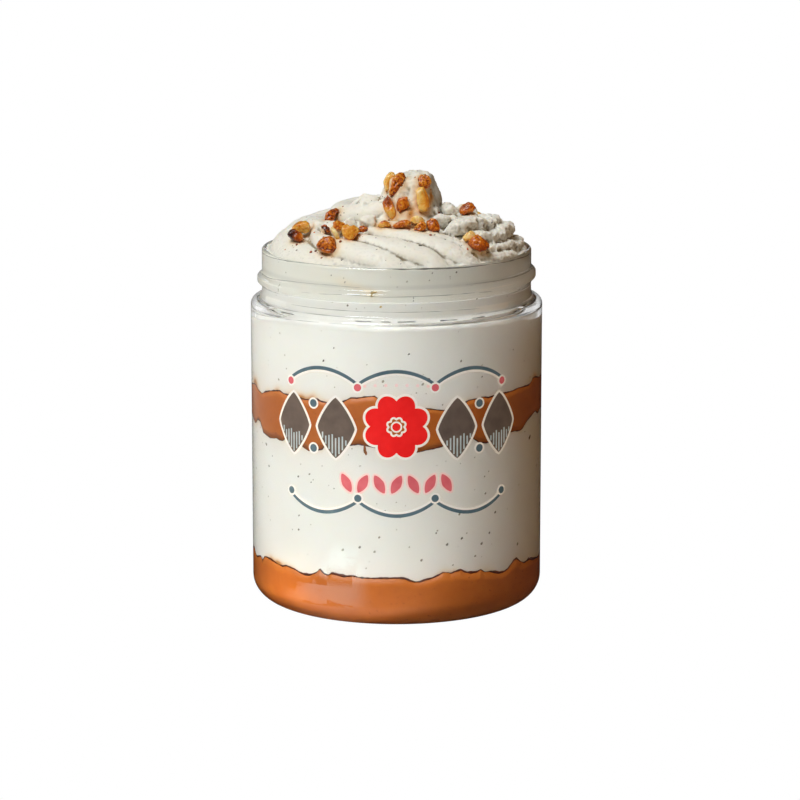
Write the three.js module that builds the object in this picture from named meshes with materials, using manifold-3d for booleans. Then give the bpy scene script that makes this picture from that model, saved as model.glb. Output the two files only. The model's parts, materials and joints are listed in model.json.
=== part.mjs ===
// A single-serve layered dessert: praline and vanilla cream in a clear
// screw-neck jar, heaped with piped whipped cream and caramelised nuts.
// Millimetres, +Z up. The origin is on the jar's axis at the plane it stands on;
// -Y is the front and angles are measured from the front towards +X.
import * as THREE from 'three';
import { mergeVertices } from 'three/addons/utils/BufferGeometryUtils.js';
import { ConvexGeometry } from 'three/addons/geometries/ConvexGeometry.js';
import Module from 'manifold-3d';

// ---------------------------------------------------------------- dimensions
const JAR = {
  bodyR: 32.7,        // outside radius of the straight body
  wall: 1.0,          // body wall
  heelR: 5.0,         // outside radius of the rounded heel
  ringInner: 24.0,    // standing ring, from here out to bodyR - heelR
  recessR: 22.8,      // recessed middle of the base
  recessDepth: 1.2,
  floor: 1.05,
  bodyTop: 67.2,      // end of the straight body
  shoulderTop: 68.9,
  shoulderR: 1.3,     // rounding at the shoulder's outer corner
  neckR: 30.16,       // outside radius of the neck
  neckWall: 1.1,
  neckFlare: 0.35,
  neckBottom: 69.3,
  height: 79.7,       // top of the rim
  rimR: 0.45,
};
const THREAD = {
  crestR: 31.2, crestW: 1.1, rootW: 3.0, pitch: 2.4,
  frontZ: 73.5,       // height of the crest at the front
  lead: 34,           // angle over which each end dies away
};
const GAP = 0.3;              // clearance between touching solids
const SEG = 48;               // facets round the jar
const LAYER_SEG = 48;         // facets round each layer
const SWIRL_SEG = 36;         // facets round the piped mound's foot

// Height of each layer boundary at the wall: a mean level plus swells given as
// [angle in degrees, rise in mm, spread in degrees].
const BOUNDARY = {
  pralineBottomTop: {
    level: 11.65, ripple: 0.14, phase: 0.4,
    swells: [[-62, 0.7, 6], [-39, -0.9, 5], [8, -0.8, 4], [24, 1.1, 6.5], [46.5, -1.0, 5],
      [56.5, 1.1, 3.5], [78, -1.1, 8], [108, 0.5, 12], [139, -0.7, 9], [168, 0.8, 11],
      [-158, -0.6, 9], [-128, 0.7, 10], [-92, -0.5, 12]],
  },
  pralineMiddleBottom: {
    level: 40.9, ripple: 0.16, phase: 1.7,
    swells: [[-61, -1.9, 7], [-46, 0.7, 5], [-36, -2.4, 3.5], [-25, 0.4, 4], [5, -1.4, 10],
      [28, 1.7, 4.5], [46, -0.3, 6], [82, 2.9, 10], [112, 0.6, 12], [141, -1.5, 12],
      [172, 0.9, 10], [-150, -1.2, 9], [-118, 0.9, 12], [-86, 1.2, 8]],
  },
  pralineMiddleTop: {
    level: 51.1, ripple: 0.13, phase: 3.1,
    swells: [[-86, -1.9, 10], [-50, 0.2, 9], [-27, -0.9, 4.5], [-15, 0.9, 5], [14, -1.9, 9],
      [60, 0.5, 13], [104, -0.8, 11], [136, 0.6, 12], [169, -0.9, 12], [-152, 0.7, 11],
      [-122, -0.7, 10]],
  },
};
const NECK_FILL_TOP = 72.2;   // the filling ends here and the piped cream begins

// The piped mound: crest height against distance from the axis.
const MOUND_R = [0, 7, 11, 16, 20, 23.5, 26, 27.2, 28.1, 28.9, 30];
const MOUND_Z = [91.3, 90.6, 89.2, 87.3, 86.0, 84.6, 83.1, 82.0, 80.9, 79.5, 77.4];
const CORE_DROP = 1.7;        // depth of the valleys between the ridges
const FILL_R = JAR.neckR - JAR.neckWall - GAP;

// Piped ridges: route as [angle, radius] pairs, half width, half height, lift of
// the crest over the mound's own surface.
const RIDGES = [
  // outer turn, seen from the front
  { via: [[-128, 23.5], [-100, 25.2], [-74, 26.2], [-48, 27.0], [-26, 28.0], [-14, 29.2]], w: 3.9, h: 3.0, lift: 0.25 },
  { via: [[-64, 21.4], [-44, 23.6], [-24, 25.9], [-8, 27.8], [4, 29.6]], w: 2.9, h: 2.5, lift: 0.15 },
  { via: [[-34, 20.8], [-14, 23.2], [2, 25.4], [14, 27.9], [22, 29.6]], w: 2.9, h: 2.5, lift: 0.1 },
  { via: [[-24, 17.6], [-2, 19.6], [12, 22.6], [22, 25.6], [31, 28.6], [35, 30]], w: 2.9, h: 2.5, lift: 0.1 },
  { via: [[6, 17.8], [22, 20.6], [35, 24.4], [45, 27.4], [52, 29.6]], w: 2.7, h: 2.4, lift: 0.0 },
  { via: [[44, 25.4], [56, 27.6], [67, 28.9], [80, 30]], w: 2.1, h: 1.8, lift: -0.5 },
  // stacked tiers on the right
  { via: [[34, 21.4], [52, 24.0], [68, 26.1], [84, 27.6], [100, 29.4]], w: 2.1, h: 2.2, lift: 0.3 },
  { via: [[26, 17.4], [48, 20.2], [68, 23.0], [86, 25.2], [104, 27.0], [122, 29.2]], w: 2.1, h: 2.2, lift: 0.35 },
  { via: [[34, 14.0], [56, 16.6], [74, 19.4], [92, 22.2], [114, 24.8], [140, 28.4], [148, 29.6]], w: 2.2, h: 2.2, lift: 0.4 },
  { via: [[44, 11.8], [64, 14.2], [82, 16.6], [104, 18.8], [128, 21.6], [154, 25.4], [172, 29.0]], w: 2.4, h: 2.4, lift: 0.9 },
  // back
  { via: [[96, 13.4], [122, 16.2], [148, 19.4], [172, 23.2], [192, 27.0], [204, 29.4]], w: 2.5, h: 2.3, lift: 0.3 },
  { via: [[132, 12.4], [158, 15.4], [182, 18.8], [204, 22.8], [222, 27.0], [232, 29.4]], w: 2.6, h: 2.3, lift: 0.3 },
  { via: [[168, 12.4], [192, 15.6], [214, 19.2], [234, 23.4], [250, 27.4], [258, 29.4]], w: 2.7, h: 2.4, lift: 0.25 },
  { via: [[198, 12.8], [220, 16.2], [242, 19.6], [262, 22.6], [282, 24.2]], w: 2.8, h: 2.4, lift: 0.2 },
  // inner turn round the foot of the peak
  { via: [[150, 8.6], [190, 9.6], [225, 12.0], [256, 14.2], [286, 14.4], [308, 12.6], [328, 11.2]], w: 3.0, h: 2.6, lift: 0.75 },
  { via: [[226, 18.2], [256, 19.6], [282, 19.4], [304, 18.2], [322, 17.4]], w: 2.5, h: 2.2, lift: 0.1 },
  { via: [[306, 15.8], [330, 14.6], [352, 15.2], [372, 15.6]], w: 2.3, h: 2.0, lift: 0.0 },
];

// Section of a ridge: a round crest on a buried foot.
const RIDGE_SECTION = [[1.04, -0.1], [0.62, 0.8], [0, 1.04], [-0.62, 0.8], [-1.04, -0.1], [0, -1]];

// The peak: a blunt knob with star-nozzle lobes, leaning a little forward.
const PEAK = {
  x: 3.1, y: -5.5, baseZ: 85.2, topX: 3.1, topY: -6.0, topZ: 97.0,
  lobes: 5, lobeDepth: 0.08, twist: 1.3, seg: 20,
  profile: [[0, 9.8], [0.2, 8.4], [0.4, 7.1], [0.6, 6.3], [0.8, 5.7], [0.94, 4.8], [1, 3.2]],
};

// Caramelised nut pieces: place of the middle, length, width and height, and the
// turn about each axis in degrees. tone picks the colour.
const NUTS = [
  ['nut_01', [-21.3, -8.8, 85.4], [4.6, 2.9, 2.5], [8, -12, 24], 'pale'],
  ['nut_02', [-22.0, -12.8, 84.1], [4.0, 2.6, 2.5], [10, 34, -22], 'dark'],
  ['nut_03', [-14.4, -6.6, 87.8], [3.2, 2.4, 2.9], [0, -32, 14], 'brown'],
  ['nut_04', [-15.3, -13.8, 86.2], [2.3, 2.0, 1.9], [12, 10, 40], 'brown'],
  ['nut_05', [-12.6, -15.3, 86.7], [2.5, 2.1, 2.6], [-12, 18, 8], 'brown'],
  ['nut_06', [-9.9, -19.6, 85.9], [3.2, 2.5, 3.0], [16, 38, -6], 'amber'],
  ['nut_07', [-13.3, -19.4, 85.4], [1.3, 1.5, 3.4], [10, -16, 0], 'pale'],
  ['nut_08', [-7.4, -18.0, 86.9], [2.3, 1.8, 1.6], [0, 14, 20], 'brown'],
  ['nut_09', [-15.2, -21.9, 84.2], [4.2, 3.2, 3.1], [14, -10, 12], 'brown'],
  ['nut_10', [-1.7, -6.9, 95.7], [2.3, 1.9, 3.9], [0, -4, 10], 'pale'],
  ['nut_11', [0.4, -10.2, 94.9], [3.0, 2.0, 4.9], [-8, 16, 0], 'brown'],
  ['nut_12', [-1.5, -11.3, 89.8], [2.4, 2.2, 5.2], [-8, -14, 0], 'amber'],
  ['nut_13', [1.4, -12.6, 90.6], [2.8, 2.0, 3.3], [-14, 18, 6], 'amber'],
  ['nut_14', [6.2, -10.8, 95.6], [3.0, 2.2, 3.0], [-12, 10, 8], 'brown'],
  ['nut_15', [6.0, -12.1, 91.7], [2.8, 2.0, 5.0], [-8, 2, 10], 'pale'],
  ['nut_16', [-2.6, -16.4, 87.6], [2.9, 2.0, 1.6], [0, 4, 16], 'amber'],
  ['nut_17', [1.2, -16.8, 87.7], [4.0, 2.1, 1.5], [0, -8, 10], 'brown'],
  ['nut_18', [4.5, -15.8, 87.9], [3.2, 1.9, 1.8], [0, 8, -10], 'pale'],
  ['nut_19', [5.2, -18.0, 87.0], [2.4, 2.1, 2.3], [10, 22, 12], 'amber'],
  ['nut_20', [8.2, -16.9, 87.3], [2.8, 2.7, 3.0], [6, -8, 20], 'brown'],
  ['nut_21', [16.0, -2.6, 88.5], [3.6, 2.7, 2.4], [0, 18, 12], 'brown'],
  ['nut_22', [16.2, -18.1, 84.9], [3.0, 2.2, 2.0], [10, -10, 24], 'pale'],
  ['nut_23', [18.2, -19.6, 83.5], [3.9, 3.0, 3.1], [16, 24, 36], 'brown'],
  // scattered over the far side
  ['nut_24', [-11.6, 22.2, 83.9], [4.0, 2.9, 2.6], [-10, -14, 50], 'brown'],
  ['nut_25', [-6.4, 17.2, 86.4], [3.4, 2.6, 2.4], [-14, -8, 80], 'amber'],
  ['nut_26', [4.5, 9.5, 89.9], [3.2, 2.5, 2.3], [-12, 6, 20], 'brown'],
  ['nut_27', [9.6, 21.2, 84.6], [4.0, 2.9, 2.5], [-16, 12, 130], 'pale'],
  ['nut_28', [0.4, 24.2, 84.0], [3.6, 2.8, 2.6], [-20, 0, 65], 'brown'],
  ['nut_29', [18.6, 17.2, 83.6], [3.3, 2.6, 2.4], [-8, 18, 15], 'amber'],
];
const NUT_GAP = 0.34;

const COLOURS = {
  jar: 0xf3f4f2, cream: 0xf1eee2, whipped: 0xf5f3ea, praline: 0xb9692f,
  pale: 0xdcae62, amber: 0xc07a24, brown: 0x9c4a17, dark: 0x5a3212,
};

// ------------------------------------------------------------------- helpers
const wasm = await Module();
wasm.setup();
const RAD = Math.PI / 180;
const V = (x, y, z) => new THREE.Vector3(x, y, z);
const polar = (deg, r, z) => V(r * Math.sin(deg * RAD), -r * Math.cos(deg * RAD), z);
const noise = (seed) => {
  const s = Math.sin(seed * 127.1 + 311.7) * 43758.5453;
  return s - Math.floor(s);
};

// Piecewise-linear look-up.
function lookUp(xs, ys, x) {
  if (x <= xs[0]) return ys[0];
  for (let i = 1; i < xs.length; i++) {
    if (x <= xs[i]) return ys[i - 1] + (ys[i] - ys[i - 1]) * (x - xs[i - 1]) / (xs[i] - xs[i - 1]);
  }
  return ys[ys.length - 1];
}

// Only positions, shared vertices joined, faces outward.
function weld(geometry) {
  const g = geometry.index ? geometry : geometry.clone();
  for (const name of Object.keys(g.attributes)) if (name !== 'position') g.deleteAttribute(name);
  const m = mergeVertices(g, 1e-4);
  const p = m.attributes.position, idx = m.index.array, keep = [];
  let volume = 0;
  const a = V(0, 0, 0), b = V(0, 0, 0), c = V(0, 0, 0);
  for (let i = 0; i < idx.length; i += 3) {
    const [u, v, w] = [idx[i], idx[i + 1], idx[i + 2]];
    if (u === v || v === w || u === w) continue;
    keep.push(u, v, w);
    a.fromBufferAttribute(p, u); b.fromBufferAttribute(p, v); c.fromBufferAttribute(p, w);
    volume += a.dot(b.clone().cross(c)) / 6;
  }
  if (volume < 0) for (let i = 0; i < keep.length; i += 3) [keep[i], keep[i + 1]] = [keep[i + 1], keep[i]];
  m.setIndex(keep);
  return m;
}

function solid(geometry) {
  const g = weld(geometry);
  return new wasm.Manifold(new wasm.Mesh({
    numProp: 3,
    vertProperties: new Float32Array(g.attributes.position.array),
    triVerts: new Uint32Array(g.index.array),
  }));
}

function geometryOf(manifold) {
  const mesh = manifold.getMesh();
  const g = new THREE.BufferGeometry();
  const n = mesh.numProp, count = mesh.vertProperties.length / n;
  const p = new Float32Array(count * 3);
  for (let i = 0; i < count; i++) for (let k = 0; k < 3; k++) p[3 * i + k] = mesh.vertProperties[n * i + k];
  g.setAttribute('position', new THREE.BufferAttribute(p, 3));
  g.setIndex(Array.from(mesh.triVerts));
  return g;
}

// A solid of revolution about Z from [radius, height] pairs.
function turned(profile, segments) {
  const g = new THREE.LatheGeometry(profile.map(([r, z]) => new THREE.Vector2(r, z)), segments);
  g.rotateX(Math.PI / 2);
  return g;
}

// A closed solid through rings of equal count, capped at both ends.
function loft(rings) {
  const n = rings[0].length, pos = [], idx = [];
  for (const ring of rings) for (const p of ring) pos.push(p.x, p.y, p.z);
  for (let i = 0; i + 1 < rings.length; i++) {
    for (let j = 0; j < n; j++) {
      const a = i * n + j, b = i * n + (j + 1) % n;
      idx.push(a, b, a + n, b, b + n, a + n);
    }
  }
  const centre = (ring) => {
    const c = V(0, 0, 0);
    for (const p of ring) c.addScaledVector(p, 1 / n);
    pos.push(c.x, c.y, c.z);
    return pos.length / 3 - 1;
  };
  const first = centre(rings[0]), last = centre(rings[rings.length - 1]);
  const off = (rings.length - 1) * n;
  for (let j = 0; j < n; j++) {
    idx.push(first, (j + 1) % n, j);
    idx.push(last, off + j, off + (j + 1) % n);
  }
  const g = new THREE.BufferGeometry();
  g.setAttribute('position', new THREE.Float32BufferAttribute(pos, 3));
  g.setIndex(idx);
  return g;
}

// A closed solid through equal rings that come back round to the first.
function wrap(rings) {
  const n = rings[0].length, m = rings.length, pos = [], idx = [];
  for (const ring of rings) for (const p of ring) pos.push(p.x, p.y, p.z);
  for (let i = 0; i < m; i++) {
    const next = (i + 1) % m * n;
    for (let j = 0; j < n; j++) {
      const a = i * n + j, b = i * n + (j + 1) % n, c = next + j, d = next + (j + 1) % n;
      idx.push(a, b, c, b, d, c);
    }
  }
  const g = new THREE.BufferGeometry();
  g.setAttribute('position', new THREE.Float32BufferAttribute(pos, 3));
  g.setIndex(idx);
  return g;
}

// ----------------------------------------------------------------------- jar
function arc(cx, cz, r, from, to, steps) {
  const out = [];
  for (let i = 0; i <= steps; i++) {
    const t = (from + (to - from) * i / steps) * RAD;
    out.push([cx + r * Math.cos(t), cz + r * Math.sin(t)]);
  }
  return out;
}

function jarGeometry() {
  const j = JAR, ringOuter = j.bodyR - j.heelR, bore = j.neckR - j.neckWall;
  const inside = j.bodyR - j.wall, floorZ = j.recessDepth + j.floor, innerHeel = j.heelR - 0.95;
  const outer = [
    [0, j.recessDepth], [j.recessR, j.recessDepth], [j.ringInner, 0],
    ...arc(ringOuter, j.heelR, j.heelR, -90, 0, 3),
    ...arc(j.bodyR - j.shoulderR, j.bodyTop, j.shoulderR, 0, 68, 2),
    [j.neckR + j.neckFlare, j.shoulderTop], [j.neckR, j.neckBottom + 0.9],
  ];
  const rim = [
    [j.neckR, j.height - j.rimR], [j.neckR - j.rimR, j.height], [bore + 0.25, j.height],
    [bore, j.height - 0.3],
  ];
  const inner = [
    [bore, j.shoulderTop - 0.6], [bore + 0.5, j.shoulderTop - 1.1],
    [inside - 0.9, j.bodyTop - 0.1], [inside, j.bodyTop - 1.0],
    ...arc(inside - innerHeel, j.floor + innerHeel, innerHeel, 0, -90, 3),
    [j.ringInner + 0.4, j.floor], [j.recessR - 0.4, floorZ], [0, floorZ],
  ];
  // Sections of the wall, set round the axis, each with its own cut of the
  // single turn of thread, which dies away at the back.
  const rings = [];
  for (let i = 0; i < SEG; i++) {
    const a = -180 + 360 * i / SEG;
    const z = THREAD.frontZ + THREAD.pitch * a / 360;
    const k = Math.min(1, (180 - Math.abs(a)) / THREAD.lead);
    const crest = j.neckR + (THREAD.crestR - j.neckR) * k;
    const root = THREAD.rootW / 2, top = THREAD.crestW / 2;
    const ridge = [[j.neckR, z - root], [crest, z - top], [crest, z + top], [j.neckR, z + root]];
    rings.push([...outer, ...ridge, ...rim, ...inner].map(([r, h]) => polar(a, r, h)));
  }
  return weld(wrap(rings));
}

// -------------------------------------------------------------------- layers
function boundary(name, deg) {
  const b = BOUNDARY[name];
  let z = b.level;
  for (const [at, rise, spread] of b.swells) {
    const d = ((deg - at) % 360 + 540) % 360 - 180;
    z += rise * Math.exp(-0.5 * (d / spread) ** 2);
  }
  const t = deg * RAD;
  return z + b.ripple * (Math.sin(17 * t + b.phase) + 0.7 * Math.sin(29 * t - b.phase));
}

// Boundary surface inside the jar: level in the middle, wavy towards the wall.
function boundaryAt(name, deg, r, wallR, offset) {
  const level = BOUNDARY[name].level, k = (r / wallR) ** 2;
  return level + (boundary(name, deg) - level) * k + offset;
}

// Rings of points from the axis out to the wall, either following a wavy
// boundary or a plain turned profile.
function cap(name, wallR, offset) {
  return [0.6, 1].map((f) => Array.from({ length: LAYER_SEG }, (_, i) => {
    const deg = 360 * i / LAYER_SEG;
    return polar(deg, wallR * f, boundaryAt(name, deg, wallR * f, wallR, offset));
  }));
}
function hoops(profile) {
  return profile.map(([r, z]) => Array.from({ length: LAYER_SEG }, (_, i) => polar(360 * i / LAYER_SEG, r, z)));
}

function contentR() { return JAR.bodyR - JAR.wall - GAP; }
function layerGeometry(lower, upper) {
  return weld(loft([...lower, ...upper.reverse()]));
}

const FILL = contentR();
const floorFill = JAR.floor + GAP, recessFill = JAR.recessDepth + JAR.floor + GAP;
const heelFill = JAR.heelR - 0.95 - GAP;
const fillBase = hoops([
  [JAR.recessR - 0.6, recessFill], [JAR.ringInner + 0.2, floorFill],
  ...arc(FILL - heelFill, floorFill + heelFill, heelFill, -90, 0, 3),
]);
const half = GAP / 2;
const neckHoops = hoops([
  [FILL, JAR.bodyTop - 1.1], [FILL - 1.0, JAR.bodyTop - 0.2],
  [FILL_R + 0.2, JAR.shoulderTop - 1.25], [FILL_R, JAR.shoulderTop - 0.6], [FILL_R, NECK_FILL_TOP],
]);

// --------------------------------------------------------------------- swirl
const moundZ = (r) => lookUp(MOUND_R, MOUND_Z, r);
function moundNormal(deg, r) {
  const slope = (moundZ(r + 0.8) - moundZ(Math.max(0, r - 0.8))) / 1.6;
  return polar(deg, -Math.max(-1.2, slope), 1).setZ(1).normalize();
}

function ridge({ via, w, h, lift }) {
  const route = new THREE.CatmullRomCurve3(via.map(([deg, r]) => V(deg, r, 0)), false, 'centripetal');
  const span = via[via.length - 1][0] - via[0][0];
  const steps = Math.max(5, Math.round(span / 17));
  const rings = [], at = [];
  for (let i = 0; i <= steps; i++) {
    const q = route.getPoint(i / steps);
    at.push({ deg: q.x, r: q.y, p: polar(q.x, q.y, moundZ(q.y) + lift) });
  }
  for (let i = 0; i <= steps; i++) {
    const ahead = at[Math.min(steps, i + 1)].p, behind = at[Math.max(0, i - 1)].p;
    const along = ahead.clone().sub(behind).normalize();
    const up = moundNormal(at[i].deg, at[i].r);
    const side = along.clone().cross(up).normalize();
    const out = side.clone().cross(along).normalize();
    const grow = Math.min(1, 0.3 + 1.6 * i / steps);
    const a = w * grow, b = h * (0.6 + 0.4 * grow);
    const centre = at[i].p.clone().addScaledVector(out, -b - (1 - grow) * 1.2);
    rings.push(RIDGE_SECTION.map(([x, y]) => centre.clone().addScaledVector(side, a * x).addScaledVector(out, b * y)));
  }
  return loft(rings);
}

function peak() {
  const P = PEAK;
  return loft(P.profile.map(([s, r], i) => Array.from({ length: P.seg }, (_, k) => {
    const t = 2 * Math.PI * k / P.seg;
    const lobe = 1 + P.lobeDepth * Math.cos(P.lobes * t + P.twist * s * P.lobes) * (i ? 1 : 0.3);
    return V(
      P.x + (P.topX - P.x) * s + r * lobe * Math.cos(t),
      P.y + (P.topY - P.y) * s + r * lobe * Math.sin(t) * (s < 0.4 ? 1.08 : 1),
      P.baseZ + (P.topZ - P.baseZ) * s + (s > 0.9 ? 0.3 * Math.cos(t - 0.2) : 0),
    );
  })));
}

// An angular chunk of chopped nut: a block with its corners knocked about and
// a raised break across the top.
function nutCorners([length, width, height], seed, grow) {
  const corners = [];
  for (const sx of [-1, 1]) for (const sy of [-1, 1]) for (const sz of [-1, 1]) {
    const k = corners.length + seed * 13;
    corners.push(V(
      sx * length / 2 * (0.62 + 0.34 * noise(k)),
      sy * width / 2 * (0.62 + 0.34 * noise(k + 0.31)),
      sz * height / 2 * (0.60 + 0.32 * noise(k + 0.67)),
    ));
  }
  corners.push(V(length * 0.5, width * 0.1 * (noise(seed) - 0.5), height * 0.08));
  corners.push(V(-length * 0.5, width * 0.16 * (noise(seed + 0.5) - 0.5), -height * 0.05));
  corners.push(V(length * 0.2 * (noise(seed + 0.2) - 0.5), width * 0.12, height * 0.5));
  if (grow) for (const c of corners) c.setLength(c.length() + grow * 1.75);
  return corners;
}
function nutGeometry([, at, size, turn], index, grow) {
  const g = new ConvexGeometry(nutCorners(size, index + 1, grow));
  g.applyMatrix4(new THREE.Matrix4().compose(
    V(...at),
    new THREE.Quaternion().setFromEuler(new THREE.Euler(...turn.map((d) => d * RAD))),
    V(1, 1, 1),
  ));
  return g;
}

function swirlGeometry() {
  const foot = NECK_FILL_TOP + GAP;
  const core = [0, 11, 20, 25, 27.4].map((r) => [r, moundZ(r) - CORE_DROP * (r < 27 ? 1 : 0.7)]);
  let body = solid(turned([...core, [FILL_R, 79.3], [FILL_R, foot], [0, foot]], SWIRL_SEG));
  const room = solid(turned([[0, foot], [FILL_R, foot], [FILL_R, 81.2], [FILL_R - 1, 110], [0, 110]], SWIRL_SEG));
  for (const spec of RIDGES) body = body.add(solid(ridge(spec)).intersect(room));
  body = body.add(solid(peak()));
  NUTS.forEach((nut, i) => { body = body.subtract(solid(nutGeometry(nut, i, NUT_GAP))); });
  return geometryOf(body);
}

// ------------------------------------------------------------------ assembly
const dessert = new THREE.Group();
function piece(name, geometry, colour, roughness, extra = {}) {
  geometry.computeVertexNormals();
  const mesh = new THREE.Mesh(geometry, new THREE.MeshStandardMaterial({ color: colour, roughness, metalness: 0, ...extra }));
  mesh.name = name;
  dessert.add(mesh);
}

piece('jar', jarGeometry(), COLOURS.jar, 0.08, { transparent: true, opacity: 0.25 });
piece('praline_bottom', layerGeometry(fillBase, cap('pralineBottomTop', FILL, -half)), COLOURS.praline, 0.45);
piece('cream_middle', layerGeometry(cap('pralineBottomTop', FILL, half), cap('pralineMiddleBottom', FILL, -half)), COLOURS.cream, 0.55);
piece('praline_middle', layerGeometry(cap('pralineMiddleBottom', FILL, half), cap('pralineMiddleTop', FILL, -half)), COLOURS.praline, 0.45);
piece('cream_top', layerGeometry(cap('pralineMiddleTop', FILL, half), neckHoops.reverse()), COLOURS.cream, 0.55);
piece('cream_swirl', swirlGeometry(), COLOURS.whipped, 0.6);
NUTS.forEach((nut, i) => piece(nut[0], weld(nutGeometry(nut, i, 0)), COLOURS[nut[4]], 0.3));

export default dessert;
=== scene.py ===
import json
import math
import bpy
import numpy as np
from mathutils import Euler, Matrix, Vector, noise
from mathutils.bvhtree import BVHTree

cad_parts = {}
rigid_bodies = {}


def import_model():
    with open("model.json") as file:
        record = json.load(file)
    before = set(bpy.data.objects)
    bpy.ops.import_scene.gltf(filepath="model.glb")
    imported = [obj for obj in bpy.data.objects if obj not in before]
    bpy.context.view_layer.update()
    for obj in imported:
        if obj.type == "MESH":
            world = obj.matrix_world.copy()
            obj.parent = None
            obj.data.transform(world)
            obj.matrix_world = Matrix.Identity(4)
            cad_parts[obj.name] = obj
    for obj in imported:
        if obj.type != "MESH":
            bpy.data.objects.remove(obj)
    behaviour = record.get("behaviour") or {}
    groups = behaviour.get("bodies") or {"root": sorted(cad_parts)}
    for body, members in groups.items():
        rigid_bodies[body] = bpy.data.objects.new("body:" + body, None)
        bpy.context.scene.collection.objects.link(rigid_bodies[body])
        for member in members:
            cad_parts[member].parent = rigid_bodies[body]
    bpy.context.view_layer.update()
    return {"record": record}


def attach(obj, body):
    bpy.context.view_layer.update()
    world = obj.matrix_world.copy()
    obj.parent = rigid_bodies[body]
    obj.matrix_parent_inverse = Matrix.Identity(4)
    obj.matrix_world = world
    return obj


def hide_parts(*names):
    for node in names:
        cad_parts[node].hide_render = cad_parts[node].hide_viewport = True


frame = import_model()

MM = 0.001
rng = np.random.default_rng(7)
scene = bpy.context.scene
scene.view_settings.view_transform = "Standard"

# ------------------------------------------------------------------ dimensions
BODY_R, WALL = 32.7, 1.0
NECK_R, NECK_WALL = 30.16, 1.1
BORE_R = NECK_R - NECK_WALL
HEEL_R, RIM_Z = 5.0, 79.7
FILL_R = BODY_R - WALL + 0.05        # the filling reaches just into the wall
NECK_FILL_R = BORE_R + 0.05
THREAD_CREST_R, THREAD_Z, THREAD_PITCH = 31.2, 73.5, 2.4

# Layer boundaries at the wall: level, then swells as (degrees, rise, spread).
BOUNDARY = {
    "bottom_top": (11.65, 0.4, [(-62, 0.7, 6), (-39, -0.9, 5), (8, -0.8, 4), (24, 1.1, 6.5), (46.5, -1.0, 5),
                                (56.5, 1.1, 3.5), (78, -1.1, 8), (108, 0.5, 12), (139, -0.7, 9), (168, 0.8, 11),
                                (-158, -0.6, 9), (-128, 0.7, 10), (-92, -0.5, 12)]),
    "middle_bottom": (40.9, 1.7, [(-61, -1.9, 7), (-46, 0.7, 5), (-36, -2.4, 3.5), (-25, 0.4, 4), (5, -1.4, 10),
                                  (28, 1.7, 4.5), (46, -0.3, 6), (82, 2.9, 10), (112, 0.6, 12), (141, -1.5, 12),
                                  (172, 0.9, 10), (-150, -1.2, 9), (-118, 0.9, 12), (-86, 1.2, 8)]),
    "middle_top": (51.1, 3.1, [(-86, -1.9, 10), (-50, 0.2, 9), (-27, -0.9, 4.5), (-15, 0.9, 5), (14, -1.9, 9),
                               (60, 0.5, 13), (104, -0.8, 11), (136, 0.6, 12), (169, -0.9, 12), (-152, 0.7, 11),
                               (-122, -0.7, 10)]),
}
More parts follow.
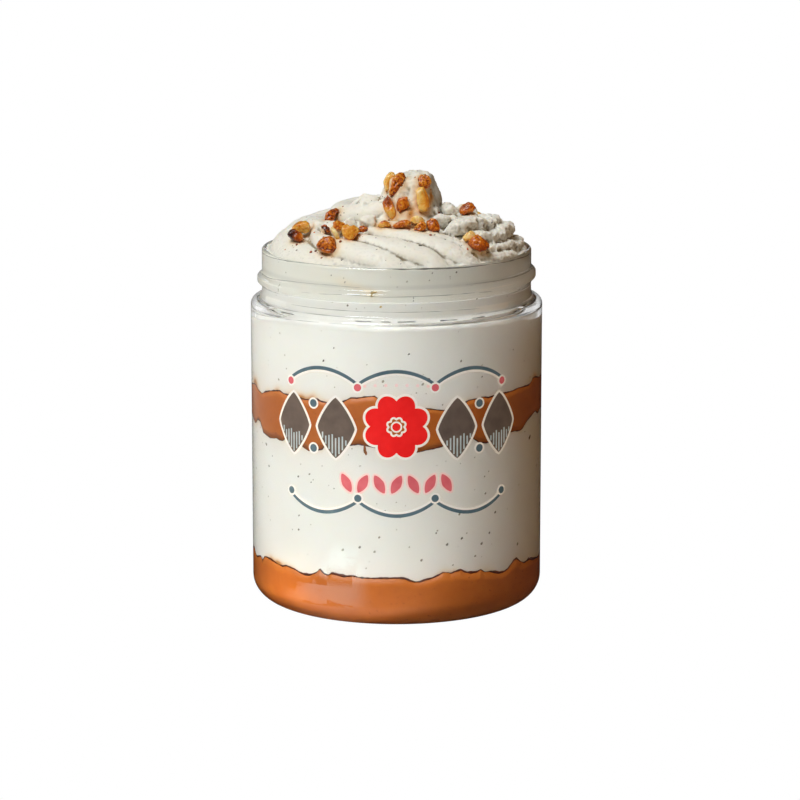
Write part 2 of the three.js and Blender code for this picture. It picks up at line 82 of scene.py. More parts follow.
# Across the front each boundary has its own jags: (degrees, height) at the wall.
FRONT_EDGE = {
    "bottom_top": [(-81.3, 9.8), (-76.1, 10.07), (-71.9, 10.89), (-69.8, 11.11), (-68.6, 10.41), (-67.4, 10.81), (-65.8, 11.49), (-63.3, 11.7),
        (-59.8, 11.58), (-55.1, 11.23), (-51.7, 11.06), (-49.2, 11.46), (-45, 11.22), (-42.3, 10.82), (-39.7, 10.5), (-36.6, 10.59), (-34.2, 11.1),
        (-32.8, 11.55), (-31.7, 12.32), (-30.7, 11.83), (-29.6, 11.35), (-27.8, 11.13), (-26.5, 11.67), (-24.8, 11.67), (-22.7, 11.46), (-20.2,
        11.37), (-17.3, 11.62), (-15.3, 11.36), (-12.2, 11.29), (-8.3, 11.28), (-4.4, 11.42), (-0.6, 11.49), (3.3, 11.36), (5.2, 10.84), (7.1, 10.47),
        (9.1, 10.48), (11.4, 10.93), (14.1, 11.29), (16.9, 11.86), (18.6, 12.35), (20.2, 12.27), (21.8, 11.96), (23.1, 12.23), (26.1, 12.5), (27.8,
        11.93), (30.5, 11.62), (33.3, 11.52), (35.2, 11.93), (37.1, 11.19), (39.6, 11.07), (45, 10.31), (47.9, 10.34), (49.8, 10.59), (51.7, 11.29),
        (53.7, 12.09), (55.8, 12.41), (58.1, 11.44), (61.4, 10.68), (64.2, 10.78), (66.2, 10.97), (71, 10.32), (77.9, 9.82), (85.7, 9.41)],
    "middle_bottom": [(-79.2, 40.41), (-73.9, 41.95), (-72.4, 42.36), (-69.6, 42.22), (-67.3, 40.88), (-66.3, 40.09), (-63.3, 39.74), (-59.8, 39.44),
        (-56.6, 39.66), (-55.2, 39.92), (-53.1, 39.57), (-51.1, 39.65), (-49.2, 40.51), (-47.4, 41.01), (-44, 40.53), (-40.3, 39.49), (-38.3, 38.98),
        (-36.8, 38.65), (-34.9, 38.68), (-33, 39.03), (-30.2, 39.44), (-29.3, 40.28), (-28.4, 41), (-27.8, 41.37), (-25.8, 41.04), (-24.6, 40.55),
        (-20, 40.76), (-14.8, 41.29), (-12, 41.04), (-7.8, 40.58), (-3.2, 39.86), (0.6, 39.53), (4.4, 39.62), (9, 39.67), (12.9, 40.13), (16.8,
        40.56), (18, 40.62), (19.6, 41.11), (21.3, 41.49), (24.6, 41.77), (28.5, 42.11), (30.2, 42.12), (33, 41.16), (34.4, 40.61), (38.8, 40.4),
        (42.4, 40.67), (46.2, 41.57), (51.1, 41.68), (53.7, 41.65), (57.3, 41.4), (59.7, 41.72), (63.1, 42.94), (67.1, 43.63), (72.1, 44.21), (78.5,
        44.4)],
    "middle_top": [(-78.3, 49.68), (-73.5, 49.3), (-69.3, 48.84), (-67, 48.64), (-63.9, 49.42), (-58.7, 50.18), (-52.9, 50.74), (-50.3, 50.3), (-45.5,
        50.26), (-41.2, 50.05), (-38.1, 49.94), (-36.2, 50.08), (-34.2, 50.44), (-32.4, 50.33), (-30.6, 50), (-27.9, 49.82), (-24.5, 49.89), (-22,
        50.11), (-19.5, 50.88), (-17.9, 51.38), (-15.5, 51.35), (-12.4, 51.77), (-8.5, 51.97), (-6.2, 51.12), (-4, 50.26), (-1.7, 49.83), (1.3,
        49.72), (5.1, 49.59), (9, 49.31), (12.8, 49.11), (16.8, 48.66), (19.2, 48.46), (21.6, 48.69), (25, 49.2), (28, 49.93), (29.3, 50.3), (32.9,
        50.41), (35.7, 50.67), (38.6, 50.35), (41.7, 50.57), (43.9, 50.73), (48.4, 50.68), (52.9, 50.74), (56.3, 50.97), (61.1, 50.95), (64.8, 50.91),
        (67.9, 51.49), (69.1, 52.04), (73.2, 51.95), (79, 51.64)],
}
RIPPLE = {"bottom_top": 0.14, "middle_bottom": 0.16, "middle_top": 0.13}

# The piped mound: crest height against distance from the axis.
MOUND_R = [0, 7, 11, 16, 20, 23.5, 26, 27.2, 28.1, 28.9, 30]
MOUND_Z = [91.3, 90.6, 89.2, 87.3, 86.0, 84.6, 83.1, 82.0, 80.9, 79.5, 77.4]
CORE_DROP = 2.0

# Piped ridges: route as (degrees, radius), half width, half height, lift, roughness, tilt.
RIDGES = [
    ([(-132, 23.6), (-104, 25.4), (-82, 26.8), (-62, 27.9), (-46, 28.8), (-30, 29.7)], 4.3, 3.2, 0.2, 0.08, 0),
    ([(-68, 19.8), (-53, 22.0), (-38, 23.6), (-26, 24.7), (-13, 26.2), (-2, 28.2), (5, 29.9)], 3.0, 2.5, 0.15, 0.08, 7),
    ([(-34, 19.2), (-18, 21.0), (-6, 22.6), (5, 24.5), (14, 26.6), (22, 29.6)], 2.85, 2.5, 0.2, 0.08, 8),
    ([(-24, 16.6), (-6, 17.8), (8, 19.4), (19, 22.0), (27, 24.8), (34, 27.6), (38, 29.6)], 2.9, 2.6, 0.25, 0.1, 8),
    ([(2, 16.6), (16, 18.4), (27, 21.6), (34, 24.4), (38, 27.0)], 2.3, 2.2, 0.1, 0.25, 8),
    ([(41, 28.0), (48, 28.5), (56, 28.7), (67, 29.0)], 1.5, 1.5, 0.75, 0.35, 0),
    ([(96, 13.4), (122, 16.2), (148, 19.4), (172, 23.2), (192, 27.0), (204, 29.4)], 2.5, 2.3, 0.3, 0.8, 6),
    ([(132, 12.4), (158, 15.4), (182, 18.8), (204, 22.8), (222, 27.0), (232, 29.4)], 2.6, 2.3, 0.3, 0.6, 8),
    ([(168, 12.4), (192, 15.6), (214, 19.2), (234, 23.4), (250, 27.4), (258, 29.4)], 2.7, 2.4, 0.25, 0.4, 10),
    ([(198, 12.8), (220, 16.2), (242, 19.6), (262, 22.6), (280, 23.6)], 2.8, 2.4, 0.2, 0.2, 10),
    ([(150, 8.6), (190, 9.4), (225, 10.9), (256, 12.6), (286, 12.4), (308, 10.6), (326, 8.8), (342, 7.0)], 3.1, 2.8, 1.05, 0.12, 8),
    ([(226, 17.2), (256, 18.4), (280, 18.6), (300, 17.8), (318, 17.0)], 2.5, 2.1, 0.05, 0.15, 6),
    ([(312, 15.6), (334, 14.6), (354, 15.2), (372, 15.8)], 2.0, 1.7, -0.1, 0.2, 0),
]
# Torn tiers of the right and back: (degrees, outer radius, top height) along the lip,
# half width, half height, raggedness.
TIERS = [
    ([(22, 14.8, 88.0), (32, 15.9, 88.6), (42, 16.2, 88.6), (50, 16.1, 88.2), (57, 16.8, 87.5), (66, 17.5, 87.3), (77, 18.1, 87.3),
      (92, 18.2, 87.4), (112, 18.6, 88.0), (136, 19.4, 87.2), (160, 21.0, 86.2)], 2.5, 1.8, 0.75),
    ([(38, 20.4, 86.6), (43, 21.3, 87.7), (50, 21.8, 88.2), (58, 22.0, 88.0), (68, 22.6, 87.4), (79, 23.3, 87.0), (93, 23.5, 86.2),
      (112, 23.8, 85.7), (136, 24.6, 84.8), (158, 26.2, 83.4)], 2.7, 1.9, 0.95),
    ([(40, 24.2, 84.9), (48, 25.0, 85.4), (58, 25.4, 84.8), (65, 25.7, 84.9), (73, 25.7, 85.3), (81, 25.9, 85.3), (94, 26.4, 84.8),
      (114, 27.1, 83.8), (138, 27.9, 82.2), (156, 28.8, 80.8)], 2.6, 1.9, 0.85),
    ([(39, 26.2, 82.0), (46, 27.0, 82.4), (55, 27.3, 82.6), (63, 27.5, 82.4), (70, 27.5, 82.5), (77, 27.7, 81.7), (87, 28.1, 81.5),
      (104, 28.6, 81.3), (126, 29.0, 80.7), (146, 29.4, 80.0)], 2.3, 1.8, 0.7),
]
# Loose lumps in the hollow left of the peak and between the folds: degrees, radius, size, lift.
LUMPS = [(-23, 15.4, 1.8, 0.0), (-40, 16.0, 1.3, -0.3), (-63, 19.4, 1.2, -0.2), (-48, 21.2, 0.8, 0.15), (-52, 8.0, 3.0, -0.6),
         (42, 26.2, 1.7, -0.7), (38, 12.4, 1.6, 0.3), (56, 14.2, 1.5, 1.2), (64, 12.6, 1.3, 0.8), (88, 15.5, 1.5, 0.8)]
PEAK = dict(x=2.9, y=-5.1, base=85.2, tx=2.9, ty=-5.5, top=97.0, lobes=5, depth=0.06, twist=1.3,
            profile=[(0, 10.3), (0.2, 8.9), (0.4, 7.7), (0.53, 7.2), (0.6, 6.9), (0.76, 6.25), (0.92, 5.6), (0.97, 5.1), (1, 4.3)])


# --------------------------------------------------------------------- helpers
def polar(deg, r, z):
    t = np.radians(deg)
    return np.stack(np.broadcast_arrays(r * np.sin(t), -r * np.cos(t), z), -1)


def make(name, verts, faces, mat, smooth=True):
    """A mesh object from millimetres."""
    me = bpy.data.meshes.new(name)
    me.from_pydata([tuple(v) for v in np.asarray(verts, float) * MM], [], [tuple(int(i) for i in f) for f in faces])
    me.validate()
    me.update()
    if smooth:
        me.polygons.foreach_set("use_smooth", [True] * len(me.polygons))
    ob = bpy.data.objects.new(name, me)
    scene.collection.objects.link(ob)
    if mat:
        me.materials.append(mat)
    return ob


def outward(ob):
    """Turns the faces of a closed mesh outwards."""
    import bmesh
    bm = bmesh.new()
    bm.from_mesh(ob.data)
    bmesh.ops.recalc_face_normals(bm, faces=bm.faces)
    bm.to_mesh(ob.data)
    bm.free()


def spin(profile, seg):
    """Vertices and faces of a profile turned about Z; ends on the axis are single points."""
    verts, rows = [], []
    t = np.arange(seg) * 2 * math.pi / seg
    for r, z in profile:
        if r < 1e-6:
            rows.append([len(verts)])
            verts.append((0, 0, z))
        else:
            rows.append(list(range(len(verts), len(verts) + seg)))
            verts += [(r * math.sin(a), -r * math.cos(a), z) for a in t]
    faces = []
    for a, b in zip(rows, rows[1:]):
        for i in range(seg):
            j = (i + 1) % seg
            if len(a) == 1:
                faces.append((a[0], b[j], b[i]))
            elif len(b) == 1:
                faces.append((a[i], a[j], b[0]))
            else:
                faces.append((a[i], a[j], b[j], b[i]))
    return verts, faces


def tube(rings):
    """Closed skin through equal rings."""
    n = len(rings[0])
    verts = [tuple(p) for ring in rings for p in ring]
    faces = []
    for i in range(len(rings) - 1):
        for j in range(n):
            k = (j + 1) % n
            faces.append((i * n + j, i * n + k, (i + 1) * n + k, (i + 1) * n + j))
    faces.append(tuple(range(n - 1, -1, -1)))
    faces.append(tuple((len(rings) - 1) * n + j for j in range(n)))
    return verts, faces


def catmull(points, count):
    """Catmull-Rom curve through 2-D points, sampled evenly in parameter."""
    p = np.array(points, float)
    p = np.vstack([2 * p[0] - p[1], p, 2 * p[-1] - p[-2]])
    out = []
    segs = len(points) - 1
    for s in np.linspace(0, segs, count):
        i = min(int(s), segs - 1)
        t = s - i
        a, b, c, d = p[i:i + 4]
        out.append(0.5 * ((2 * b) + (c - a) * t + (2 * a - 5 * b + 4 * c - d) * t * t + (3 * b - a - 3 * c + d) * t ** 3))
    return np.array(out)


def arc(cx, cz, r, a0, a1, steps):
    return [(cx + r * math.cos(math.radians(a)), cz + r * math.sin(math.radians(a)))
            for a in np.linspace(a0, a1, steps + 1)]


# ------------------------------------------------------------------- materials
def material(name):
    m = bpy.data.materials.new(name)
    m.use_nodes = True
    nt = m.node_tree
    bsdf = nt.nodes["Principled BSDF"]
    return m, nt, bsdf


def node(nt, kind, **props):
    n = nt.nodes.new(kind)
    for k, v in props.items():
        setattr(n, k, v)
    return n


def srgb(r, g, b):
    f = lambda c: (c / 255 / 12.92) if c / 255 <= 0.04045 else ((c / 255 + 0.055) / 1.055) ** 2.4
    return (f(r), f(g), f(b), 1.0)


def mix(nt, a, b, fac):
    n = nt.nodes.new("ShaderNodeMix")
    n.data_type = "RGBA"
    for sock, val in ((n.inputs[6], a), (n.inputs[7], b)):
        if isinstance(val, tuple):
            sock.default_value = val
        else:
            nt.links.new(val, sock)
    if isinstance(fac, (int, float)):
        n.inputs[0].default_value = fac
    else:
        nt.links.new(fac, n.inputs[0])
    return n.outputs[2]


def noise_tex(nt, scale, detail=4.0, rough=0.5, coord=None):
    c = coord or nt.nodes.new("ShaderNodeTexCoord").outputs["Object"]
    n = nt.nodes.new("ShaderNodeTexNoise")
    n.inputs["Scale"].default_value = scale
    n.inputs["Detail"].default_value = detail
    n.inputs["Roughness"].default_value = rough
    nt.links.new(c, n.inputs["Vector"])
    return n.outputs["Fac"]


def ramp(nt, fac, stops):
    n = nt.nodes.new("ShaderNodeValToRGB")
    els = n.color_ramp.elements
    while len(els) < len(stops):
        els.new(0.5)
    for e, (p, c) in zip(els, stops):
        e.position = p
        e.color = c if isinstance(c, tuple) else (c, c, c, 1)
    nt.links.new(fac, n.inputs[0])
    return n.outputs[0]


def bump(nt, bsdf, height, strength, distance):
    b = nt.nodes.new("ShaderNodeBump")
    b.inputs["Strength"].default_value = strength
    b.inputs["Distance"].default_value = distance
    nt.links.new(height, b.inputs["Height"])
    nt.links.new(b.outputs[0], bsdf.inputs["Normal"])


def attr(nt, name):
    a = nt.nodes.new("ShaderNodeAttribute")
    a.attribute_name = name
    return a.outputs["Fac"]


def cream_material(name, base, shade, rough):
    m, nt, b = material(name)
    mottled = mix(nt, base, shade, ramp(nt, noise_tex(nt, 90, 5, 0.6), [(0.35, 0.0), (0.75, 1.0)]))
    # Painted shade: the shade attribute darkens the cream towards half its colour, and the attribute on the next line
    # paints dark shadow lines into the sharpest creases; the stain is caramel bleed.
    painted_shaded = mix(nt, mottled, tuple(c * 0.5 for c in base[:3]) + (1.0,), attr(nt, "shade"))
    painted_shaded = mix(nt, painted_shaded, srgb(128, 114, 88), attr(nt, "seam"))
    soak = attr(nt, "stain")
    stained = mix(nt, painted_shaded, ramp(nt, soak, [(0.0, srgb(240, 212, 150)), (0.5, srgb(226, 176, 102)), (1.0, srgb(190, 124, 46))]), soak)
    nt.links.new(stained, b.inputs["Base Color"])
    b.inputs["Roughness"].default_value = rough
    b.inputs["Specular IOR Level"].default_value = 0.3
    b.inputs["Subsurface Weight"].default_value = 0.25
    b.inputs["Subsurface Radius"].default_value = (1.0, 0.75, 0.5)
    b.inputs["Subsurface Scale"].default_value = 0.0006
    bump(nt, b, noise_tex(nt, 1400, 4, 0.6), 0.25, 0.00012)
    return m


CREAM = cream_material("vanilla_cream", srgb(246, 244, 238), srgb(243, 240, 231), 0.5)
WHIPPED = cream_material("whipped_cream", srgb(245, 243, 233), srgb(241, 237, 224), 0.6)


def praline_material():
    m, nt, b = material("praline")
    c = ramp(nt, noise_tex(nt, 160, 6, 0.6), [(0.3, srgb(186, 101, 32)), (0.55, srgb(194, 107, 36)), (0.8, srgb(203, 117, 44))])
    # ground nut: faint darker flecks
    c = mix(nt, c, srgb(138, 66, 18), ramp(nt, noise_tex(nt, 1300, 2, 0.5), [(0.66, 0.0), (0.74, 0.55)]))
    nt.links.new(c, b.inputs["Base Color"])
    b.inputs["Roughness"].default_value = 0.45
    b.inputs["Specular IOR Level"].default_value = 0.35
    b.inputs["Subsurface Weight"].default_value = 0.1
    b.inputs["Subsurface Radius"].default_value = (1.0, 0.5, 0.25)
    b.inputs["Subsurface Scale"].default_value = 0.0008
    bump(nt, b, noise_tex(nt, 900, 4, 0.6), 0.2, 0.0001)
    return m


PRALINE = praline_material()


def syrup_material():
    m, nt, b = material("dark_caramel_edge")
    c = ramp(nt, noise_tex(nt, 500, 3), [(0.3, srgb(58, 20, 5)), (0.7, srgb(104, 44, 12))])
    nt.links.new(c, b.inputs["Base Color"])
    b.inputs["Roughness"].default_value = 0.35
    return m


def edge_material(name, lo, hi):
    """Two noisy tones of one colour: used for the painted dark (painted shade) and bright (painted highlight) lines
    where the clear plastic bends sharply, and for the praline smears.
    """
    m, nt, b = material(name)
    nt.links.new(ramp(nt, noise_tex(nt, 260, 3), [(0.3, lo), (0.7, hi)]), b.inputs["Base Color"])
    b.inputs["Roughness"].default_value = 0.4
    return m


# Opaque lines that paint the plastic's edges: painted shade lines, painted shadow dashes under the shoulder and painted
# highlights.
CONTOUR_SHADE = edge_material("plastic_contour", srgb(104, 101, 92), srgb(150, 147, 137))
GAP_SHADOW = edge_material("plastic_gap", srgb(58, 57, 52), srgb(88, 86, 80))
GLINT = edge_material("plastic_glint", srgb(244, 244, 240), srgb(254, 254, 252))
SYRUP = syrup_material()


def seed_material():
    m, nt, b = material("vanilla_seed")
    c = ramp(nt, noise_tex(nt, 700, 2), [(0.35, srgb(44, 34, 26)), (0.7, srgb(92, 78, 62))])
    # one that lies deeper shows paler through the cream
    c = mix(nt, c, srgb(214, 206, 188), attr(nt, "depth"))
    nt.links.new(c, b.inputs["Base Color"])
    b.inputs["Roughness"].default_value = 0.7
    return m


SEED = seed_material()


def jar_material():
    m, nt, b = material("clear_plastic")
    b.inputs["Base Color"].default_value = (0.985, 0.99, 0.985, 1)
    b.inputs["Transmission Weight"].default_value = 1.0
    b.inputs["IOR"].default_value = 1.5
    b.inputs["Roughness"].default_value = 0.03
    bump(nt, b, noise_tex(nt, 45, 2), 0.05, 0.0004)
    clear = nt.nodes.new("ShaderNodeBsdfTransparent")
    clear.inputs[0].default_value = (0.97, 0.97, 0.965, 1)
    path = nt.nodes.new("ShaderNodeLightPath")
    mx = nt.nodes.new("ShaderNodeMixShader")
    nt.links.new(path.outputs["Is Shadow Ray"], mx.inputs[0])
    nt.links.new(b.outputs[0], mx.inputs[1])
    nt.links.new(clear.outputs[0], mx.inputs[2])
    nt.links.new(mx.outputs[0], nt.nodes["Material Output"].inputs["Surface"])
    return m


JAR = jar_material()


def nut_material(name, seed):
    """Caramelised nut: the attribute read below runs from dark (0) to pale nut meat (1); its dark end is burnt sugar
    and also painted shade, which build_nut puts in folds, at the foot and on shaded sides.
    """
    m, nt, b = material(name)
    tc = nt.nodes.new("ShaderNodeTexCoord").outputs["Object"]
    mp = nt.nodes.new("ShaderNodeMapping")
    mp.inputs["Location"].default_value = (seed, seed * 0.7, -seed)
    nt.links.new(tc, mp.inputs["Vector"])
    grain = nt.nodes.new("ShaderNodeMapRange")
    grain.inputs["From Min"].default_value = 0.25
    grain.inputs["From Max"].default_value = 0.75
    grain.inputs["To Min"].default_value = -0.09
    grain.inputs["To Max"].default_value = 0.09
    nt.links.new(noise_tex(nt, 900, 5, 0.65, mp.outputs[0]), grain.inputs["Value"])
    add = nt.nodes.new("ShaderNodeMath")
    add.operation = "ADD"
    nt.links.new(attr(nt, "toast"), add.inputs[0])
    nt.links.new(grain.outputs[0], add.inputs[1])
    c = ramp(nt, add.outputs[0], [(0.0, srgb(48, 16, 10)), (0.12, srgb(92, 36, 12)), (0.3, srgb(156, 70, 14)), (0.46, srgb(200, 104, 20)),
                                  (0.62, srgb(224, 150, 46)), (0.8, srgb(238, 192, 100)), (1.0, srgb(248, 222, 168))])
    nt.links.new(c, b.inputs["Base Color"])
    b.inputs["Roughness"].default_value = 0.3
    b.inputs["Coat Weight"].default_value = 0.3
    b.inputs["Coat Roughness"].default_value = 0.2
    b.inputs["Specular IOR Level"].default_value = 0.35
    b.inputs["Subsurface Weight"].default_value = 0.3
    b.inputs["Subsurface Radius"].default_value = (1.0, 0.45, 0.12)
    b.inputs["Subsurface Scale"].default_value = 0.0012
    bump(nt, b, noise_tex(nt, 1500, 4, 0.6), 0.35, 0.0002)
    return m


NUT_MATS = {k: nut_material("nut_" + k, i + 1.0) for i, k in enumerate(("pale", "amber", "brown", "dark"))}

# ------------------------------------------------------------------------- jar
def thread_bump(z, deg):
    """How far the thread stands out of the neck at height z and angle deg."""
    zc = THREAD_Z + THREAD_PITCH * deg / 360
    k = np.clip((180 - np.abs(deg)) / 34, 0, 1)
    k = k * k * (3 - 2 * k)
    d = np.abs(z - zc)
    s = np.clip((d - 0.45) / (1.55 - 0.45), 0, 1)
    return (THREAD_CREST_R - NECK_R) * k * (1 - s * s * (3 - 2 * s))


def build_jar():
    seg = 256
    inside, floor, recess = BODY_R - WALL, 1.05, 1.2
    ih = HEEL_R - 0.95
    outer = [(0, recess), (21.6, recess), (22.4, recess - 0.15), (23.4, 0.22), (24.2, 0.0), (25.6, 0.0)]
    outer += arc(BODY_R - HEEL_R, HEEL_R, HEEL_R, -90, 0, 14)
    outer += [(BODY_R, z) for z in np.linspace(12, 60, 5)]
    outer += arc(BODY_R - 1.3, 67.2, 1.3, 0, 66, 6)
    outer += [(30.95, 68.72), (30.62, 68.86), (30.42, 69.1), (30.3, 69.5), (30.2, 70.1)]
    neck = [(NECK_R, z) for z in np.linspace(70.6, 78.4, 40)]
    rim = [(NECK_R, 79.0)] + arc(NECK_R - 0.45, RIM_Z - 0.45, 0.45, 0, 90, 5) + arc(BORE_R + 0.3, RIM_Z - 0.3, 0.3, 90, 180, 4)
    inner = [(BORE_R, 78.5), (BORE_R, 74.0), (BORE_R, 69.0), (BORE_R + 0.1, 68.2), (BORE_R + 0.45, 67.72)]
    inner += [(BORE_R + 1.0, 67.55)] + arc(inside - 1.0, 66.4, 1.0, 84, 0, 7)
    inner += [(inside, z) for z in np.linspace(60, 12, 5)]
    inner += arc(inside - ih, floor + ih, ih, 0, -90, 12)
    inner += [(24.6, floor), (23.8, floor + 0.25), (22.6, recess + floor - 0.1), (21.8, recess + floor), (0, recess + floor)]
    profile = outer + neck + rim + inner
    verts, faces = spin(profile, seg)
    v = np.array(verts)
    r = np.hypot(v[:, 0], v[:, 1])
    deg = np.degrees(np.arctan2(v[:, 0], -v[:, 1]))
    on_neck = (r > NECK_R - 0.01) & (v[:, 2] > 70.3) & (v[:, 2] < 78.6) & (r < NECK_R + 0.01)
    push = np.where(on_neck, thread_bump(v[:, 2], deg), 0)
    # the moulding isn't quite true
    wob = 1 + 0.0006 * np.sin(3 * np.radians(deg) + 0.4) * np.clip(v[:, 2] / 60, 0, 1)
    k = np.where(r > 1, (r + push) / np.maximum(r, 1e-6), 1) * np.where(r > NECK_R, wob, 1)
    v[:, 0] *= k
    v[:, 1] *= k
    ob = make("jar_clear", v, faces, JAR)
    outward(ob)
    return ob


jar = build_jar()
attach(jar, "root")
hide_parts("jar")

# Painted contour lines on the clear plastic, dark where it bends and bright at the glints: (degrees, height, half
# width) along each.
RIM_LINE = [(-84, 79.0, 0.09), (-71, 79.2, 0.1), (-51, 79.45, 0.07), (-39, 79.62, 0.06), (-22, 79.62, 0.05), (-11, 79.58, 0.08),
            (-4, 79.56, 0.04), (0, 79.55, 0.12), (14, 79.5, 0.17), (23, 79.42, 0.2), (32, 79.36, 0.14), (43, 79.36, 0.08),
            (56, 79.28, 0.12), (65, 79.2, 0.1), (84, 78.9, 0.12)]
THREAD_TOP = [(-82, 74.3, 0.1), (-66, 74.5, 0.08), (-50, 75.15, 0.06), (-38, 75.4, 0.05), (-28, 75.5, 0.05), (-19, 75.4, 0.04),
              (-8, 75.4, 0.0), (20, 75.5, 0.0), (36, 75.55, 0.05), (48, 75.5, 0.09), (55, 75.45, 0.05), (70, 75.4, 0.1), (86, 75.3, 0.14)]
THREAD_MID = [(-60, 73.2, 0.0), (-40, 73.4, 0.03), (-19, 73.9, 0.05), (-7, 73.65, 0.05), (9, 73.75, 0.05), (18, 73.8, 0.055),
              (31, 73.8, 0.055), (41, 73.6, 0.04), (48, 73.5, 0.0)]
THREAD_LOW = [(-84, 71.6, 0.09), (-70, 71.7, 0.07), (-56, 71.8, 0.04), (-40, 71.9, 0.0), (50, 72.0, 0.0), (62, 72.05, 0.06), (86, 72.1, 0.12)]
NECK_LOW = [(-60, 70.0, 0.0), (-44, 70.1, 0.04), (-28, 70.15, 0.045), (-11, 70.2, 0.05), (10, 70.18, 0.05), (27, 70.1, 0.04), (49, 69.8, 0.0)]
NECK_BASE = [(-88, 68.9, 0.12), (-76, 68.75, 0.1), (-66, 68.72, 0.09), (-50, 68.8, 0.08), (-38, 68.84, 0.075), (-24, 68.86, 0.06),
             (-8, 68.9, 0.035), (0, 68.92, 0.0), (20, 68.9, 0.0), (44, 68.85, 0.05), (60, 68.82, 0.09), (72, 68.82, 0.12), (88, 68.8, 0.14)]
SHOULDER_LINE = [(-86, 66.0, 0.05), (-70, 66.4, 0.06), (-58, 66.9, 0.055), (-40, 67.45, 0.05), (-26, 67.6, 0.04), (-10, 67.6, 0.0), (0, 67.6, 0.0),
                 (3, 67.66, 0.09), (11, 67.5, 0.06), (17, 67.6, 0.09), (25, 67.66, 0.1), (34, 67.66, 0.08), (44, 67.5, 0.06), (56, 67.4, 0.06),
                 (71, 67.3, 0.07), (86, 67.0, 0.08)]
# Painted shadow: dark dashes of the air pockets under the shoulder, as (degrees from, to) and half width.
DASHES = [((-53, -44), 0.15), ((-17, -8.8), 0.11), ((-6.8, -1.6), 0.14), ((-0.4, 8.2), 0.15), ((16.4, 25.2), 0.15), ((29.8, 37.6), 0.13), ((51.5, 54.5), 0.13)]
# Painted highlights along the thread and under the neck on the right.
THREAD_GLINTS = [[(49, 75.75, 0.0), (58, 75.8, 0.06), (66, 75.85, 0.08), (80, 75.8, 0.03)],
                 [(47, 71.75, 0.0), (60, 71.75, 0.07), (74, 71.8, 0.09), (86, 71.85, 0.04)],
                 [(66, 69.15, 0.04), (74, 69.1, 0.22), (84, 69.0, 0.26), (90, 69.0, 0.1)]]
_OUTER_Z = [60, 67.2, 67.73, 68.2, 68.39, 68.72, 68.86, 69.1, 69.5, 70.1, 70.6, 78.9, 79.4, 79.7]
_OUTER_R = [BODY_R, BODY_R, BODY_R - 0.12, BODY_R - 0.5, BODY_R - 0.77, 30.95, 30.62, 30.42, 30.3, 30.2, NECK_R, NECK_R, NECK_R - 0.1, NECK_R - 0.5]


def contour(verts, faces, pts, seed):
    """A thin lens of a line lying on the outside of the plastic: an opaque ribbon that paints a dark or bright edge of
    the plastic.
    """
    ds = np.arange(pts[0][0], pts[-1][0] + 0.01, 0.8)
    z = np.interp(ds, [p[0] for p in pts], [p[1] for p in pts])
    h = np.interp(ds, [p[0] for p in pts], [p[2] for p in pts])
    h = h * np.array([1 + 0.9 * noise.noise(Vector((d * 0.22, seed, 0))) for d in ds]) - 0.012
    z = z + np.array([0.05 * noise.noise(Vector((d * 0.12, seed, 7))) for d in ds])
    r = np.interp(z, _OUTER_Z, _OUTER_R) + np.where(z > 70.3, thread_bump(z, ds), 0)
    run = []
    for i in range(len(ds) + 1):
        if i < len(ds) and h[i] > 0.012:
            run.append(i)
            continue
        if len(run) > 2:
            rings = [[polar(ds[k], r[k] - 0.06, z[k]), polar(ds[k], r[k] + 0.008, z[k] - h[k]),
                      polar(ds[k], r[k] + 0.02, z[k]), polar(ds[k], r[k] + 0.008, z[k] + h[k])] for k in run]
            v, f = tube(rings)
            off = len(verts)
            verts += v
            faces += [tuple(q + off for q in t) for t in f]
        run = []


def build_contours():
    for name, mat, sets in (("jar_contours", CONTOUR_SHADE, [RIM_LINE, THREAD_TOP, THREAD_MID, THREAD_LOW, NECK_LOW, NECK_BASE, SHOULDER_LINE]),
                            ("jar_glints", GLINT, THREAD_GLINTS),
                            ("jar_gaps", GAP_SHADOW, [[(a, 68.36, 0.0), (a + 1.2, 68.36, h), (b - 1.2, 68.36, h), (b, 68.36, 0.0)] for (a, b), h in DASHES])):
        verts, faces = [], []
        for i, pts in enumerate(sets):
            contour(verts, faces, pts, 3.1 * i + 1)
        ob = make(name, verts, faces, mat)
        outward(ob)
        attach(ob, "root")


build_contours()

# ---------------------------------------------------------------------- layers
def ragged(name, deg):
    """Small unevenness of a boundary: soft waves, short jags and a few nicks."""
    t = np.radians(deg)
    s = {"bottom_top": 11.3, "middle_bottom": 47.9, "middle_top": 83.1}[name]
    out = np.zeros_like(t)
    for freq, amp in ((6, 0.22), (14, 0.2), (34, 0.13), (80, 0.07)):
        out += amp * np.array([noise.noise(Vector((freq * math.cos(a) + s, freq * math.sin(a), s * freq * 0.1))) for a in np.atleast_1d(t)])
    return out


def boundary(name, deg):
    level, phase, swells = BOUNDARY[name]
    deg = np.asarray(deg, float)
    z = np.full(deg.shape, float(level))
    for at, rise, spread in swells:
        d = (deg - at + 540) % 360 - 180
        z += rise * np.exp(-0.5 * (d / spread) ** 2)
    t = np.radians(deg)
    z += 0.7 * RIPPLE[name] * (np.sin(17 * t + phase) + 0.7 * np.sin(29 * t - phase))
    rough = ragged(name, deg)
    d = (deg + 180) % 360 - 180
    front = FRONT_EDGE[name]
    at, top = [q[0] for q in front], [q[1] for q in front]
    k = np.clip((d - at[0]) / 7, 0, 1) * np.clip((at[-1] - d) / 7, 0, 1)
    k = k * k * (3 - 2 * k)
    return (z + rough) * (1 - k) + (np.interp(d, at, top) + 0.3 * rough) * k


LSEG = 720
DEG = np.arange(LSEG) * 360 / LSEG
EDGE = {k: boundary(k, DEG) for k in BOUNDARY}


def cap_rings(name, wall_r, offset):
    level = BOUNDARY[name][0]
    return [polar(DEG, wall_r * f, level + (EDGE[name] - level) * f ** 4 + offset) for f in (0.5, 0.8, 0.95, 1.0)]


